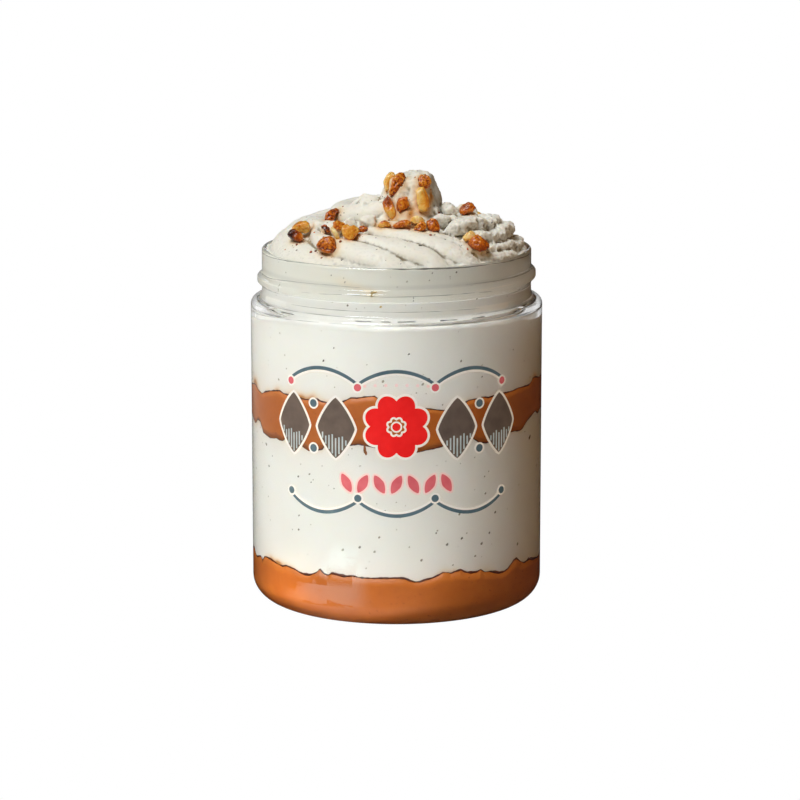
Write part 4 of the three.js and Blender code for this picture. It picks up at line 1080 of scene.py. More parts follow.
def build_nut(name, i):
    """A broken piece with rounded, sugared edges over the plain solid of the same nut."""
    src = node_object(name)
    if name in NUT_OUTLINES:
        box = np.array([src.matrix_world @ Vector(q) for q in src.bound_box]) / MM
        lo, hi = box.min(0), box.max(0)
        ob = make(name + "_caramelised", *outline_piece(name, (lo + hi) / 2, 0.92 * (hi - lo)[1]), None)
        outward(ob)
    else:
        me = src.data.copy()
        me.name = name + "_raw"
        ob = bpy.data.objects.new(name + "_caramelised", me)
        scene.collection.objects.link(ob)
        me.materials.clear()
    rm = ob.modifiers.new("remesh", "REMESH")
    rm.mode = "VOXEL"
    rm.voxel_size = 0.15 * MM
    sm = ob.modifiers.new("smooth", "SMOOTH")
    sm.factor = 0.6
    sm.iterations = 2 if name in NUT_OUTLINES else 5
    dg = bpy.context.evaluated_depsgraph_get()
    new = bpy.data.meshes.new_from_object(ob.evaluated_get(dg))
    new.name = name + "_caramelised"
    ob.modifiers.clear()
    ob.data = new
    n = len(new.vertices)
    co = np.empty(n * 3)
    no = np.empty(n * 3)
    new.vertices.foreach_get("co", co)
    new.vertices.foreach_get("normal", no)
    co, no = co.reshape(-1, 3) / MM, no.reshape(-1, 3)
    level, gx, gz, rough = TOAST_AND_SHADE[name]
    mid = (co.max(0) + co.min(0)) / 2
    a = np.array([noise.noise(Vector(c) * 0.62 + Vector((i * 3.1, 0, 0))) for c in co])
    f = np.array([noise.noise(Vector(c) * 1.7 + Vector((0, i * 2.3, 0))) for c in co])
    g = np.array([noise.noise(Vector(c) * 4.2 + Vector((0, 0, i * 1.7))) for c in co])
    d = (0.05 + 0.2 * a if name in NUT_OUTLINES else 0.12 + 0.42 * a) + rough * (0.16 * f + 0.09 * g)
    # broken faces are flat: each part leans to the nearest of a few planes
    for k in range(6):
        tilt = Vector((noise.noise(Vector((i * 1.7, k * 2.1, 0.5))), noise.noise(Vector((k * 1.9, i * 2.3, 4.5))) - 0.45, noise.noise(Vector((i * 0.9, 7.5, k * 1.3))) + 0.2)).normalized()
        reach = (co - mid) @ np.array(tilt)
        d -= 0.55 * np.maximum(0, reach - 0.8 * reach.max())
    co2 = co + no * d[:, None]
    new.vertices.foreach_set("co", (co2 * MM).ravel())
    new.update()
    new.polygons.foreach_set("use_smooth", [True] * len(new.polygons))
    # level and tilt across the piece from the table; the tilt is partly painted shade
    toast = level + gx * (co[:, 0] - mid[0]) + gz * (co[:, 2] - mid[2]) + 0.12 * a + rough * (0.22 * f + 0.24 * g)
    # painted shade: a deeper fold is darker, and the piece darkens where it meets the cream, partly caramel pooled at
    # its foot and partly painted contact shadow
    ed = np.empty(len(new.edges) * 2, dtype=np.int64)
    new.edges.foreach_get("vertices", ed)
    ea, eb = ed[0::2], ed[1::2]
    ring = np.maximum(1, np.bincount(ea, minlength=n) + np.bincount(eb, minlength=n)).astype(float)
    flat = blurred(co2, ea, eb, ring, 9)
    hollow = ((flat - co2) * no).sum(1)
    toast -= np.clip((hollow - 0.01) / 0.12, 0, 1) * 0.3
    grit = np.array([noise.noise(Vector(c) * 7.5 + Vector((i * 1.3, 0, 2.0))) for c in co])
    toast += rough * 0.22 * grit
    # painted contact shadow, with caramel pooled at the foot: darker near the cream
    foot = np.array([swirl_tree.find_nearest(Vector(c))[3] for c in co2])
    toast -= 0.22 * np.exp(-(foot / 0.4) ** 2)
    new.attributes.new("toast", "FLOAT", "POINT").data.foreach_set("value", np.clip(toast, 0.0, 1.0))
    new.materials.clear()
    tone = NUT_TONES[name]
    new.materials.append(NUT_MATS[tone])
    NUT_POINTS.extend((Vector(p), level) for p in co2[::3])
    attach(ob, "root")
    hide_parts(name)
    return ob


for i, name in enumerate(sorted(NUT_TONES)):
    build_nut(name, i)

# Caramel bleeds a little into the cream round each nut.
from mathutils import kdtree
tree = kdtree.KDTree(len(NUT_POINTS))
for i, (p, level) in enumerate(NUT_POINTS):
    tree.insert(p, i)
tree.balance()


def nut_halo(ob):
    p = coords(ob)
    old = np.empty(len(p))
    ob.data.attributes["stain"].data.foreach_get("value", old)
    near = np.where((p[:, 2] > 79) & (np.hypot(p[:, 0], p[:, 1]) < 29.5))[0]
    for i in near:
        q, k, d = tree.find(Vector(p[i]))
        if d < 3.0:
            v = Vector(p[i])
            w = 0.75 + 0.8 * noise.noise(v * 0.35)
            # syrup has run together at the foot of the peak
            pool = max(0.0, 1 - abs(v.z - 88.6) / 2.6) * max(0.0, 1 - abs(v.x - 2.2) / 4.6) * (v.y < -8)
            old[i] = max(old[i], min(0.62 + 0.25 * pool, (0.62 + 0.3 * pool) * math.exp(-(d / (0.75 + 0.9 * pool)) ** 1.4) + w * 0.22 * math.exp(-(d / 1.7) ** 2)))
    # syrup caught between the pieces on the face of the peak: x, height, half width, half height, strength
    for x, z, w, h, k in ((3.1, 89.2, 1.3, 1.9, 1.0), (7.5, 92.2, 0.75, 2.2, 1.0), (-0.1, 89.3, 0.7, 1.6, 0.85), (1.6, 92.6, 0.5, 0.7, 0.6)):
        lean = 0.22 * (p[:, 2] - z)
        d2 = ((p[:, 0] - x - lean) / w) ** 2 + ((p[:, 2] - z) / h) ** 2
        old = np.maximum(old, k * np.exp(-d2 ** 1.3) * (p[:, 1] < -8))
    ob.data.attributes["stain"].data.foreach_set("value", old)


nut_halo(swirl)

# ------------------------------------------------- seeds, crumbs, smears, drip
# Vanilla seeds seen through the wall: degrees, height, radius, how deep they lie.
WALL_SEEDS = [(26.5, 19.6, 0.3, 0.1), (-29.6, 59.1, 0.26, 0.1), (-42.1, 20.4, 0.24, 0.3), (39.5, 19.9, 0.26, 0.25), (20.2, 18.6, 0.3, 0.3),
              (9.8, 15.4, 0.28, 0.35), (4.8, 61.3, 0.22, 0.2), (-14.5, 18.2, 0.3, 0.35), (35.6, 17.8, 0.32, 0.35), (15.7, 21.3, 0.2, 0.3),
              (-42.1, 32.4, 0.26, 0.3), (-31.9, 25.6, 0.26, 0.4), (-63.4, 37.6, 0.36, 0.5), (-61.2, 32.9, 0.3, 0.5), (-36.4, 33.4, 0.24, 0.5),
              (-41.9, 23.6, 0.22, 0.5), (66.2, 38.9, 0.5, 0.1), (1.6, 25.2, 0.24, 0.3), (37.4, 29.0, 0.26, 0.4), (25.4, 25.1, 0.24, 0.4),
              (42.5, 24.3, 0.3, 0.25), (-21.5, 17.3, 0.34, 0.65), (-8.6, 17.3, 0.28, 0.6), (-6.7, 20.6, 0.24, 0.5), (56.5, 15.6, 0.3, 0.4),
              (32.6, 15.2, 0.26, 0.6), (-53.4, 53.2, 0.26, 0.55), (-25, 62.1, 0.22, 0.5), (12.4, 55.5, 0.5, 0.3), (10.2, 54.6, 0.3, 0.5),
              (-5.2, 55.3, 0.3, 0.6), (25.8, 59.2, 0.24, 0.4)]
NECK_SEEDS = [(36.4, 72.06, 0.2, 0.1), (26.1, 78.3, 0.2, 0.1), (65.5, 72.25, 0.26, 0.2), (-21, 71.2, 0.24, 0.2), (14, 76.9, 0.15, 0.4)]


def fleck(verts, faces, centre, normal, size, flat, seed):
    """A small irregular grain lying on a surface."""
    n = Vector(normal).normalized()
    u = n.orthogonal().normalized()
    w = n.cross(u)
    off = len(verts)
    rows, cols = 5, 8
    turn = seed * 2.4
    for i in range(rows):
        f = math.pi * (i + 0.5) / rows
        for j in range(cols):
            g = 2 * math.pi * j / cols + turn
            k = size * (1 + 0.45 * noise.noise(Vector((math.cos(g) * 1.3, math.sin(g) * 1.3, seed * 7.7))))
            q = Vector(centre) + u * (k * math.sin(f) * math.cos(g) * 1.2) + w * (k * math.sin(f) * math.sin(g) * 0.85) + n * (flat * size * math.cos(f))
            verts.append(tuple(q))
    for i in range(rows - 1):
        for j in range(cols):
            k = (j + 1) % cols
            faces.append((off + i * cols + j, off + i * cols + k, off + (i + 1) * cols + k, off + (i + 1) * cols + j))
    faces.append(tuple(off + j for j in range(cols - 1, -1, -1)))
    faces.append(tuple(off + (rows - 1) * cols + j for j in range(cols)))
    return rows * cols


def build_seeds():
    verts, faces, depth = [], [], []

    def put(c, n, size, deep, k):
        depth.extend([deep] * fleck(verts, faces, c, n, size, 0.16 if size > 0.2 else 0.25, k))

    k = 0
    for rows, radius in ((WALL_SEEDS, FILL_R), (NECK_SEEDS, NECK_FILL_R)):
        for deg, z, size, deep in rows:
            k += 1
            put(polar(deg, radius, z), polar(deg, 1, 0), size, deep, k)
    gen = np.random.default_rng(41)
    # round the body: thinner where the front ones are already set out
    for _ in range(330):
        deg, z = gen.uniform(-180, 180), gen.uniform(12.5, 66.0)
        e = {q: float(np.interp(deg % 360, DEG, EDGE[q], period=360)) for q in EDGE}
        size = 0.1 + 0.2 * gen.random() ** 3
        deep = 0.75 - 0.55 * gen.random() ** 2.5
        if z < e["bottom_top"] + 0.8 or e["middle_bottom"] - 0.6 < z < e["middle_top"] + 0.8 or z > 65.8:
            continue
        if abs(deg) < 75 and size > 0.2:
            size *= 0.7
        k += 1
        put(polar(deg, FILL_R, z), polar(deg, 1, 0), size, deep, k)
    for _ in range(70):
        deg, z = gen.uniform(-180, 180), gen.uniform(69.6, 78.8)
        k += 1
        put(polar(deg, NECK_FILL_R, z), polar(deg, 1, 0), 0.1 + 0.14 * gen.random() ** 2, 0.7 - 0.5 * gen.random() ** 2, k)
    # on the piped cream
    for _ in range(150):
        deg, r = gen.uniform(0, 360), 29 * math.sqrt(gen.random())
        hit = swirl_tree.ray_cast(Vector(polar(deg, r, 110.0)), Vector((0, 0, -1)))
        if hit[0] is None or hit[0].z < 80:
            continue
        k += 1
        put(hit[0], hit[1], 0.1 + 0.16 * gen.random() ** 2, 0.6 - 0.6 * gen.random(), k)
    for deg, r, size in ((12, 24.6, 0.42), (50, 26.0, 0.22), (26, 21.0, 0.22), (27, 23.4, 0.2), (-53, 27.4, 0.24), (-26, 27.0, 0.2), (31, 19.6, 0.26), (24, 17.8, 0.2)):
        hit = swirl_tree.ray_cast(Vector(polar(deg, r, 110.0)), Vector((0, 0, -1)))
        k += 1
        put(hit[0], hit[1], size, 0.0, k)
    for _ in range(60):
        deg, z = gen.uniform(0, 360), gen.uniform(81, 96)
        start = Vector(polar(deg, 60, z))
        hit = swirl_tree.ray_cast(start, (Vector((2.9, -5.3, z - 2.0)) - start).normalized())
        if hit[0] is None:
            continue
        k += 1
        put(hit[0], hit[1], 0.1 + 0.12 * gen.random() ** 2, 0.6 - 0.6 * gen.random(), k)
    ob = make("vanilla_seeds", verts, faces, SEED)
    outward(ob)
    ob.data.attributes.new("depth", "FLOAT", "POINT").data.foreach_set("value", np.array(depth))
    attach(ob, "root")


build_seeds()


def build_crumbs():
    """Grains of caramel shed round the nuts."""
    gen = np.random.default_rng(57)
    pts = [q for q, _ in NUT_POINTS]
    verts, faces = [], []
    made = 0
    while made < 70:
        c = pts[int(gen.integers(len(pts)))]
        a = gen.uniform(0, 2 * math.pi)
        d = 0.8 + 2.2 * gen.random() ** 1.5
        x, y = c.x + d * math.cos(a), c.y + d * math.sin(a)
        if math.hypot(x, y) > 28.6:
            continue
        hit = swirl_tree.ray_cast(Vector((x, y, 110.0)), Vector((0, 0, -1)))
        if hit[0] is None or tree.find(hit[0])[2] < 0.35:
            continue
        made += 1
        fleck(verts, faces, hit[0] + hit[1] * 0.05, hit[1], 0.12 + 0.22 * gen.random() ** 2.2, 0.8, made + 0.5)
    ob = make("caramel_crumbs", verts, faces, NUT_MATS["brown"])
    outward(ob)
    toast = np.repeat(gen.uniform(0.1, 0.5, made), 40)
    ob.data.attributes.new("toast", "FLOAT", "POINT").data.foreach_set("value", toast)
    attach(ob, "root")


build_crumbs()


def build_smears():
    """Praline smeared on the inside of the wall: a drip under the middle layer and a dab in the neck."""
    verts, faces = [], []
    for deg, z, w, h, radius, k in ((-12.4, 40.2, 0.35, 1.05, FILL_R, 1), (-11.9, 39.3, 0.28, 0.5, FILL_R, 2), (-9.2, 73.95, 0.62, 0.45, NECK_FILL_R, 3),
                                    (-10.2, 73.6, 0.4, 0.3, NECK_FILL_R, 4), (-68.6, 10.5, 0.25, 0.9, FILL_R, 5), (-6.6, 71.2, 0.3, 0.25, NECK_FILL_R, 6),
                                    (96, 40.6, 0.4, 1.2, FILL_R, 7), (-140, 39.0, 0.35, 1.0, FILL_R, 8)):
        off = len(verts)
        rows, cols = 4, 14
        for i in range(rows):
            f = math.pi * (i + 0.5) / rows
            for j in range(cols):
                g = 2 * math.pi * j / cols
                q = 1 + 0.35 * noise.noise(Vector((math.cos(g) * 1.2, math.sin(g) * 1.2, k * 5.1)))
                verts.append(tuple(polar(deg + math.degrees(w * q * math.sin(f) * math.cos(g) / radius), radius + 0.05 * math.cos(f), z + h * q * math.sin(f) * math.sin(g))))
        for i in range(rows - 1):
            for j in range(cols):
                n = (j + 1) % cols
                faces.append((off + i * cols + j, off + i * cols + n, off + (i + 1) * cols + n, off + (i + 1) * cols + j))
        faces.append(tuple(off + j for j in range(cols)))
        faces.append(tuple(off + (rows - 1) * cols + j for j in range(cols)))
    ob = make("praline_smears", verts, faces, SMEAR)
    outward(ob)
    # thin ones in the neck are tan
    thin = (coords(ob)[:, 2] > 69).astype(float)
    ob.data.attributes.new("thin", "FLOAT", "POINT").data.foreach_set("value", thin)
    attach(ob, "root")


SMEAR = edge_material("praline_smear", srgb(112, 58, 20), srgb(158, 96, 44))
_sb = SMEAR.node_tree.nodes["Principled BSDF"]
_sc = _sb.inputs["Base Color"].links[0].from_socket
SMEAR.node_tree.links.new(mix(SMEAR.node_tree, _sc, srgb(196, 168, 104), attr(SMEAR.node_tree, "thin")), _sb.inputs["Base Color"])
build_smears()

# A faint band of caramel on the cream behind the neck, left of the dab.
sp = coords(swirl)
sdeg = np.degrees(np.arctan2(sp[:, 0], -sp[:, 1]))
band = 0.22 * np.exp(-0.5 * ((sdeg + 19) / 7) ** 2) * np.exp(-((sp[:, 2] - 76.6 + (sdeg + 26) * 0.14) / 1.1) ** 2)
band += 0.3 * np.exp(-0.5 * ((sdeg + 10) / 2.5) ** 2) * np.exp(-((sp[:, 2] - 74.0) / 0.9) ** 2)
band[np.hypot(sp[:, 0], sp[:, 1]) < 28.6] = 0
held = np.empty(len(sp))
swirl.data.attributes["stain"].data.foreach_get("value", held)
swirl.data.attributes["stain"].data.foreach_set("value", np.clip(held + band, 0, 1))


def thin_out(ob, most):
    """Larger faces away from the neck wall, so that the piece has fewer than most triangles."""
    ob.data.calc_loop_triangles()
    n = len(ob.data.loop_triangles)
    if n <= most:
        return
    p = coords(ob)
    free = np.where((np.hypot(p[:, 0], p[:, 1]) < NECK_FILL_R - 0.7) | (p[:, 2] > RIM_Z + 0.3) | (p[:, 2] < 72.4))[0]
    ob.vertex_groups.new(name="free").add(free.tolist(), 1.0, "REPLACE")
    md = ob.modifiers.new("thin", "DECIMATE")
    md.vertex_group = "free"
    md.ratio = most / n
    new = bpy.data.meshes.new_from_object(ob.evaluated_get(bpy.context.evaluated_depsgraph_get()))
    new.name = ob.data.name + "_thinned"
    ob.modifiers.clear()
    ob.vertex_groups.clear()
    ob.data = new
    new.polygons.foreach_set("use_smooth", [True] * len(new.polygons))


thin_out(swirl, 192000)

# ----------------------------------------------------------------------- print
# A plain ornament on the outside of the wall: a frieze of lozenges round a flower,
# between two scalloped lines, with a row of leaves. s runs round the wall, in mm.
INKS = {"dark": (srgb(96, 86, 82), srgb(112, 100, 95)), "white": (srgb(248, 247, 244), srgb(253, 252, 250)), "red": (srgb(244, 20, 26), srgb(252, 30, 34)),
        "slate": (srgb(78, 104, 120), srgb(94, 122, 138)), "pale": (srgb(176, 196, 204), srgb(206, 220, 226)),
        "rose": (srgb(218, 98, 114), srgb(228, 116, 130)), "blush": (srgb(252, 216, 214), srgb(254, 228, 226))}
INK_MESH = {k: ([], []) for k in INKS}


def on_wall(q, lift):
    return polar(np.degrees(q[..., 0] / BODY_R), BODY_R + lift, q[..., 1])


def plate(ink, outline, lift, hole=0.0):
    """A thin filled figure laid on the wall; outline runs once round its middle."""
    verts, faces = INK_MESH[ink]
    off, n = len(verts), len(outline)
    mid = outline.mean(0)
    steps = [hole + (1 - hole) * k for k in (0.0 if hole else 0.02, 0.34, 0.67, 1.0)]
    rows = [(k, lift + 0.03) for k in steps] + [(k, lift) for k in steps[::-1]]
    for k, up in rows:
        verts += [tuple(v) for v in on_wall(mid + (outline - mid) * k, up)]
    m = len(rows)
    for i in range(m if hole else m - 1):
        for j in range(n):
            k, i2 = (j + 1) % n, (i + 1) % m
            faces.append((off + i * n + j, off + i * n + k, off + i2 * n + k, off + i2 * n + j))
    if not hole:
        faces.append(tuple(off + j for j in range(n)))
        faces.append(tuple(off + (m - 1) * n + j for j in range(n)))


def stroke(ink, path, half, lift, closed=False):
    """A thin line of even width along a path on the wall."""
    verts, faces = INK_MESH[ink]
    off, n = len(verts), len(path)
    if closed:
        d = np.roll(path, -1, 0) - np.roll(path, 1, 0)
    else:
        d = np.gradient(path, axis=0)
    d /= np.linalg.norm(d, axis=1)[:, None]
    side = np.stack([d[:, 1], -d[:, 0]], -1) * half
    for q, up in ((path - side, lift), (path - side, lift + 0.03), (path + side, lift + 0.03), (path + side, lift)):
        verts += [tuple(v) for v in on_wall(q, up)]
    for i in range(4):
        i2 = (i + 1) % 4
        for j in range(n if closed else n - 1):
            k = (j + 1) % n
            faces.append((off + i * n + j, off + i * n + k, off + i2 * n + k, off + i2 * n + j))
    if not closed:
        for j in (0, n - 1):
            faces.append(tuple(off + i * n + j for i in range(4)))


def figure(cs, cz, radius, tilt=0.0, count=72):
    """Outline of a figure given by its half widths along each heading."""
    g = np.arange(count) / count * 2 * math.pi
    r = radius(g)
    q = np.stack([r * np.cos(g), r * np.sin(g)], -1)
    c, sn = math.cos(tilt), math.sin(tilt)
    return q @ np.array([[c, sn], [-sn, c]]) + np.array([cs, cz])


def grown(outline, by):
    d = np.roll(outline, -1, 0) - np.roll(outline, 1, 0)
    d /= np.linalg.norm(d, axis=1)[:, None]
    return outline + np.stack([d[:, 1], -d[:, 0]], -1) * by


def lozenge(a, b, p):
    return lambda g: (np.abs(np.cos(g) / a) ** p + np.abs(np.sin(g) / b) ** p) ** (-1 / p)


def flower(r, lobes, depth):
    return lambda g: r * (1 - depth + depth * np.abs(np.cos(lobes * g / 2)) ** 0.8)


def build_print():
    row = 44.6
    for cs in (-24.7, -13.6, 13.6, 24.7):
        shape = figure(cs, row, lozenge(4.5, 6.8, 1.25))
        plate("dark", shape, 0.03)
        stroke("white", grown(shape, 0.2), 0.27, 0.035, True)
        for k in range(-4, 5):
            ds = k * 0.8
            foot = row - 6.8 * (1 - (abs(ds) / 4.5) ** 1.25) ** 0.8 + 0.45
            top = row - 1.9 + 0.35 * ds * (1 if cs > 0 else -1) * 0.4 + 0.35 * ((k * 7) % 3 - 1)
            if top - foot > 0.5:
                stroke("pale", np.array([(cs + ds, foot), (cs + ds, top)]), 0.17, 0.065)
    for cs in (-19.15, 19.15):
        for dz in (-5.0, 5.0):
            dot = figure(cs, row + dz, lambda g: np.full_like(g, 0.95), count=28)
            plate("slate", dot, 0.03)
            stroke("white", grown(dot, 0.12), 0.2, 0.035, True)
    bloom = figure(0, row + 0.8, flower(7.3, 8, 0.2), math.pi / 8, 160)
    plate("red", bloom, 0.03, hole=0.3)
    stroke("white", grown(bloom, 0.15), 0.27, 0.035, True)
    stroke("white", grown(np.array([0, row + 0.8]) + (bloom - [0, row + 0.8]) * 0.3, -0.1), 0.22, 0.035, True)
    core = figure(0, row + 0.8, lambda g: np.full_like(g, 0.95), count=28)
    plate("red", core, 0.03)
    stroke("white", grown(core, 0.12), 0.18, 0.035, True)
    # scalloped lines above and below
    s = np.linspace(-25.5, 25.5, 103)
    swag = np.abs(np.sin(math.pi * (s + 25.5) / 17.0)) ** 0.75
    for base, rise, way in ((54.2, 3.4, 1), (29.0, -3.4, -1)):
        line = np.stack([s, base + rise * swag], -1)
        stroke("slate", line, 0.42, 0.03)
        stroke("white", line - [0, 0.62 * way], 0.24, 0.035)
        for cs in (-25.5, -8.5, 8.5, 25.5):
            dot = figure(cs, base - 0.3 * way, lambda g: np.full_like(g, 0.9), count=28)
            plate("rose" if way > 0 else "slate", dot, 0.066)
            stroke("white", grown(dot, 0.12), 0.2, 0.07, True)
    for k in range(-4, 5):
        plate("blush", figure(k * 2.3, 54.6 - 0.035 * k * k, lambda g: np.full_like(g, 0.36), count=20), 0.03)
    for k in range(-3, 4):
        leaf = figure(k * 3.7, 32.6, lambda g: lozenge(1.15, 2.35, 1.5)(g), math.radians(28 if k % 2 else -28), 48)
        plate("rose", leaf, 0.03)
        stroke("blush", grown(leaf, 0.14), 0.21, 0.035, True)
    for ink, (verts, faces) in INK_MESH.items():
        lo, hi = INKS[ink]
        m, nt, b = material("ink_" + ink)
        nt.links.new(ramp(nt, noise_tex(nt, 380, 4), [(0.3, lo), (0.7, hi)]), b.inputs["Base Color"])
        b.inputs["Roughness"].default_value = 0.4
        b.inputs["Specular IOR Level"].default_value = 0.3
        ob = make("print_" + ink, verts, faces, m, smooth=False)
        ob.visible_shadow = False          # ink this thin throws no shadow through the wall
        outward(ob)
        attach(ob, "root")


build_print()


# --------------------------------------------------------------- camera, light
ELEV, DIST, AIM_Z = math.radians(11.6228), 765.74, 44.653
cam_data = bpy.data.cameras.new("camera")
cam = bpy.data.objects.new("camera", cam_data)
scene.collection.objects.link(cam)
cam.location = (0.77 * MM, -DIST * math.cos(ELEV) * MM, (AIM_Z + DIST * math.sin(ELEV)) * MM)
cam.rotation_euler = (math.radians(90) - ELEV, 0, 0)
cam_data.sensor_width = 36
cam_data.lens = 3387.9 / 800 * 36
cam_data.clip_start = 0.01
scene.camera = cam


def area(name, azimuth, elevation, distance, size, size_y, power, colour, target=(0, 0, 0.05)):
    d = bpy.data.lights.new(name, "AREA")
    d.shape = "RECTANGLE"
    d.size, d.size_y = size, size_y
    d.energy = power
    d.color = colour
    o = bpy.data.objects.new(name, d)
    scene.collection.objects.link(o)
    a, e = math.radians(azimuth), math.radians(elevation)
    o.location = Vector(target) + Vector((math.sin(a) * math.cos(e), -math.cos(a) * math.cos(e), math.sin(e))) * distance
    o.rotation_euler = (Vector(target) - o.location).to_track_quat("-Z", "Y").to_euler()
    return o


area("key", -35, 55, 0.9, 0.42, 0.42, 6.7, (0.955, 0.99, 1.0))
area("warm_fill", 88, 14, 0.7, 0.5, 0.4, 0.52, (1.0, 0.60, 0.30))
area("left_soft", -125, 8, 0.7, 0.5, 0.4, 0.5, (1.0, 0.98, 0.94))

pool = bpy.data.lights.new("table_pool", "SPOT")
pool.energy = 110.0
pool.color = (1.0, 0.9, 0.7)
pool.spot_size = math.radians(5)
pool.spot_blend = 1.0
pool.shadow_soft_size = 0.01
pool_ob = bpy.data.objects.new("table_pool", pool)
scene.collection.objects.link(pool_ob)
pool_ob.location = (-0.20, -0.38, 0.42)
pool_ob.rotation_euler = (Vector((-0.044, -0.040, 0)) - pool_ob.location).to_track_quat("-Z", "Y").to_euler()


def table_sheen(name, at, turn, long, wide, power, colour):
    """A bright patch of table that only the glossy plastic mirrors, fading out at its borders."""
    o = area(name, 0, 90, 1, long, wide, power, colour)
    o.location = (at[0] * MM, at[1] * MM, 0.3 * MM)
    o.rotation_euler = (math.pi, 0, math.radians(turn))
    o.visible_camera = o.visible_diffuse = o.visible_transmission = False
    o.data.use_nodes = True
    lt = o.data.node_tree
    uv = lt.nodes.new("ShaderNodeSeparateXYZ")
    lt.links.new(lt.nodes.new("ShaderNodeNewGeometry").outputs["Parametric"], uv.inputs[0])
    fades = []
    for k in (0, 1):
        bell = lt.nodes.new("ShaderNodeMath")
        bell.operation = "PINGPONG"
        bell.inputs[1].default_value = 0.5
        lt.links.new(uv.outputs[k], bell.inputs[0])
        edge = lt.nodes.new("ShaderNodeMapRange")
        edge.interpolation_type = "SMOOTHSTEP"
        edge.inputs["From Max"].default_value = 0.3
        lt.links.new(bell.outputs[0], edge.inputs["Value"])
        fades.append(edge.outputs[0])
    both = lt.nodes.new("ShaderNodeMath")
    both.operation = "MULTIPLY"
    lt.links.new(fades[0], both.inputs[0])
    lt.links.new(fades[1], both.inputs[1])
    lt.links.new(both.outputs[0], lt.nodes["Emission"].inputs["Strength"])
    return o


for name, at, turn, long, wide, power in (("table_bounce", (-52, -62), -40, 0.15, 0.11, 0.0145), ("table_front", (-12, -37), -18, 0.05, 0.014, 0.0052),
                                          ("table_left", (-58, -8), 80, 0.07, 0.03, 0.005)):
    bounce = area(name, 0, 90, 1, long, wide, power, (1.0, 0.955, 0.9))
    bounce.location = (at[0] * MM, at[1] * MM, 0.3 * MM)
    bounce.rotation_euler = (math.pi, 0, math.radians(turn))
    bounce.visible_camera = bounce.visible_glossy = False

table_sheen("sheen_band", (-42, -58), 64.8, 0.085, 0.052, 0.036, (0.62, 1.0, 1.0))


def seen_first(tree):
    """1 for what the camera sees straight or through clear plastic, 0 for light that bounces."""
    lp = tree.nodes.new("ShaderNodeLightPath")
    near = tree.nodes.new("ShaderNodeMath")
    near.operation = "LESS_THAN"
    near.inputs[1].default_value = 0.5
    tree.links.new(lp.outputs["Diffuse Depth"], near.inputs[0])
    through = tree.nodes.new("ShaderNodeMath")
    through.operation = "MULTIPLY"
    tree.links.new(lp.outputs["Is Transmission Ray"], through.inputs[0])
    tree.links.new(near.outputs[0], through.inputs[1])
    both = tree.nodes.new("ShaderNodeMath")
    both.operation = "MAXIMUM"
    tree.links.new(lp.outputs["Is Camera Ray"], both.inputs[0])
    tree.links.new(through.outputs[0], both.inputs[1])
    return both.outputs[0], lp

world = bpy.data.worlds.new("studio")
scene.world = world
world.use_nodes = True
wn = world.node_tree
bg = wn.nodes["Background"]
bg.inputs[0].default_value = (1.0, 0.72, 0.46, 1)
bg.inputs[1].default_value = 0.11
heading = wn.nodes.new("ShaderNodeSeparateXYZ")
wn.links.new(wn.nodes.new("ShaderNodeTexCoord").outputs["Generated"], heading.inputs[0])


def graded(tree, value, lo, hi, a, b):
    """A background that turns smoothly from strength a at lo to strength b at hi."""
    m = tree.nodes.new("ShaderNodeMapRange")
    m.interpolation_type = "SMOOTHSTEP"
    for k, v in (("From Min", lo), ("From Max", hi), ("To Min", a), ("To Max", b)):
        m.inputs[k].default_value = v
    tree.links.new(value, m.inputs["Value"])
    return m.outputs[0]


gloss = wn.nodes.new("ShaderNodeBackground")
gloss.inputs[0].default_value = (1.0, 0.95, 0.86, 1)
wn.links.new(graded(wn, heading.outputs[0], -0.85, -0.1, 0.45, 0.008), gloss.inputs[1])
white = wn.nodes.new("ShaderNodeBackground")
white.inputs[0].default_value = (1, 1, 1, 1)
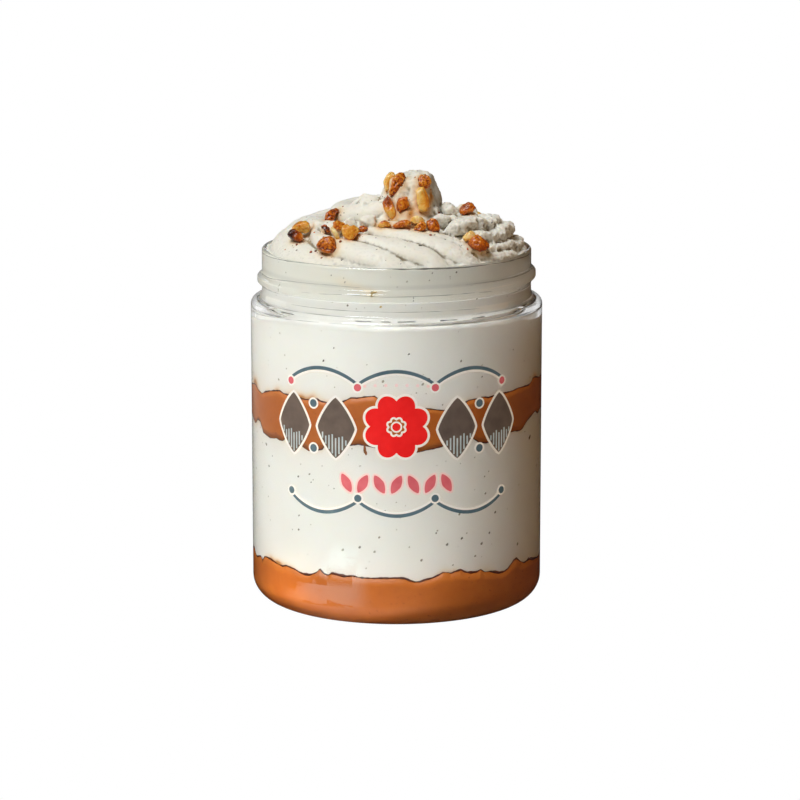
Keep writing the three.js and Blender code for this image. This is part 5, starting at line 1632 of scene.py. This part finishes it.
# through bent plastic the room shows: white straight behind, grey to the sides
wn.links.new(graded(wn, heading.outputs[1], 0.72, 0.93, 0.28, 1.0), white.inputs[1])
first, lp = seen_first(wn)
m1 = wn.nodes.new("ShaderNodeMixShader")
wn.links.new(lp.outputs["Is Glossy Ray"], m1.inputs[0])
wn.links.new(bg.outputs[0], m1.inputs[1])
wn.links.new(gloss.outputs[0], m1.inputs[2])
ms = wn.nodes.new("ShaderNodeMixShader")
wn.links.new(first, ms.inputs[0])
wn.links.new(m1.outputs[0], ms.inputs[1])
wn.links.new(white.outputs[0], ms.inputs[2])
plain = wn.nodes.new("ShaderNodeBackground")
plain.inputs[0].default_value = (1, 1, 1, 1)
mc = wn.nodes.new("ShaderNodeMixShader")
wn.links.new(lp.outputs["Is Camera Ray"], mc.inputs[0])
wn.links.new(ms.outputs[0], mc.inputs[1])
wn.links.new(plain.outputs[0], mc.inputs[2])
wn.links.new(mc.outputs[0], wn.nodes["World Output"].inputs["Surface"])

floor = make("studio_floor", [(-4000, -4000, 0), (4000, -4000, 0), (4000, 4000, 0), (-4000, 4000, 0)], [(0, 1, 2, 3)], None, smooth=False)
fm, fnt, fb = material("studio_floor")
fb.inputs["Base Color"].default_value = (0.86, 0.74, 0.60, 1)
fb.inputs["Roughness"].default_value = 0.9
fb.inputs["Specular IOR Level"].default_value = 0.0
dim = fnt.nodes.new("ShaderNodeLightPath")
fside = fnt.nodes.new("ShaderNodeSeparateXYZ")
fnt.links.new(fnt.nodes.new("ShaderNodeTexCoord").outputs["Object"], fside.inputs[0])
# Painted light: to glossy rays the floor glows, bright on the left and near dark on the right, a painted reflection of
# a lit table for the plastic to mirror.
floor_mirror_glow = fnt.nodes.new("ShaderNodeEmission")
floor_mirror_glow.inputs[0].default_value = (1.0, 0.95, 0.86, 1)
fnt.links.new(graded(fnt, fside.outputs[0], -0.16, -0.05, 0.4, 0.008), floor_mirror_glow.inputs[1])
fgl = fnt.nodes.new("ShaderNodeMixShader")
fnt.links.new(dim.outputs["Is Glossy Ray"], fgl.inputs[0])
fnt.links.new(fb.outputs[0], fgl.inputs[1])
fnt.links.new(floor_mirror_glow.outputs[0], fgl.inputs[2])
glow = fnt.nodes.new("ShaderNodeEmission")
glow.inputs[0].default_value = (1, 1, 1, 1)
glow.inputs[1].default_value = 1.0
fmx = fnt.nodes.new("ShaderNodeMixShader")
fnt.links.new(seen_first(fnt)[0], fmx.inputs[0])
fnt.links.new(fgl.outputs[0], fmx.inputs[1])
fnt.links.new(glow.outputs[0], fmx.inputs[2])
fnt.links.new(fmx.outputs[0], fnt.nodes["Material Output"].inputs["Surface"])
floor.data.materials.append(fm)
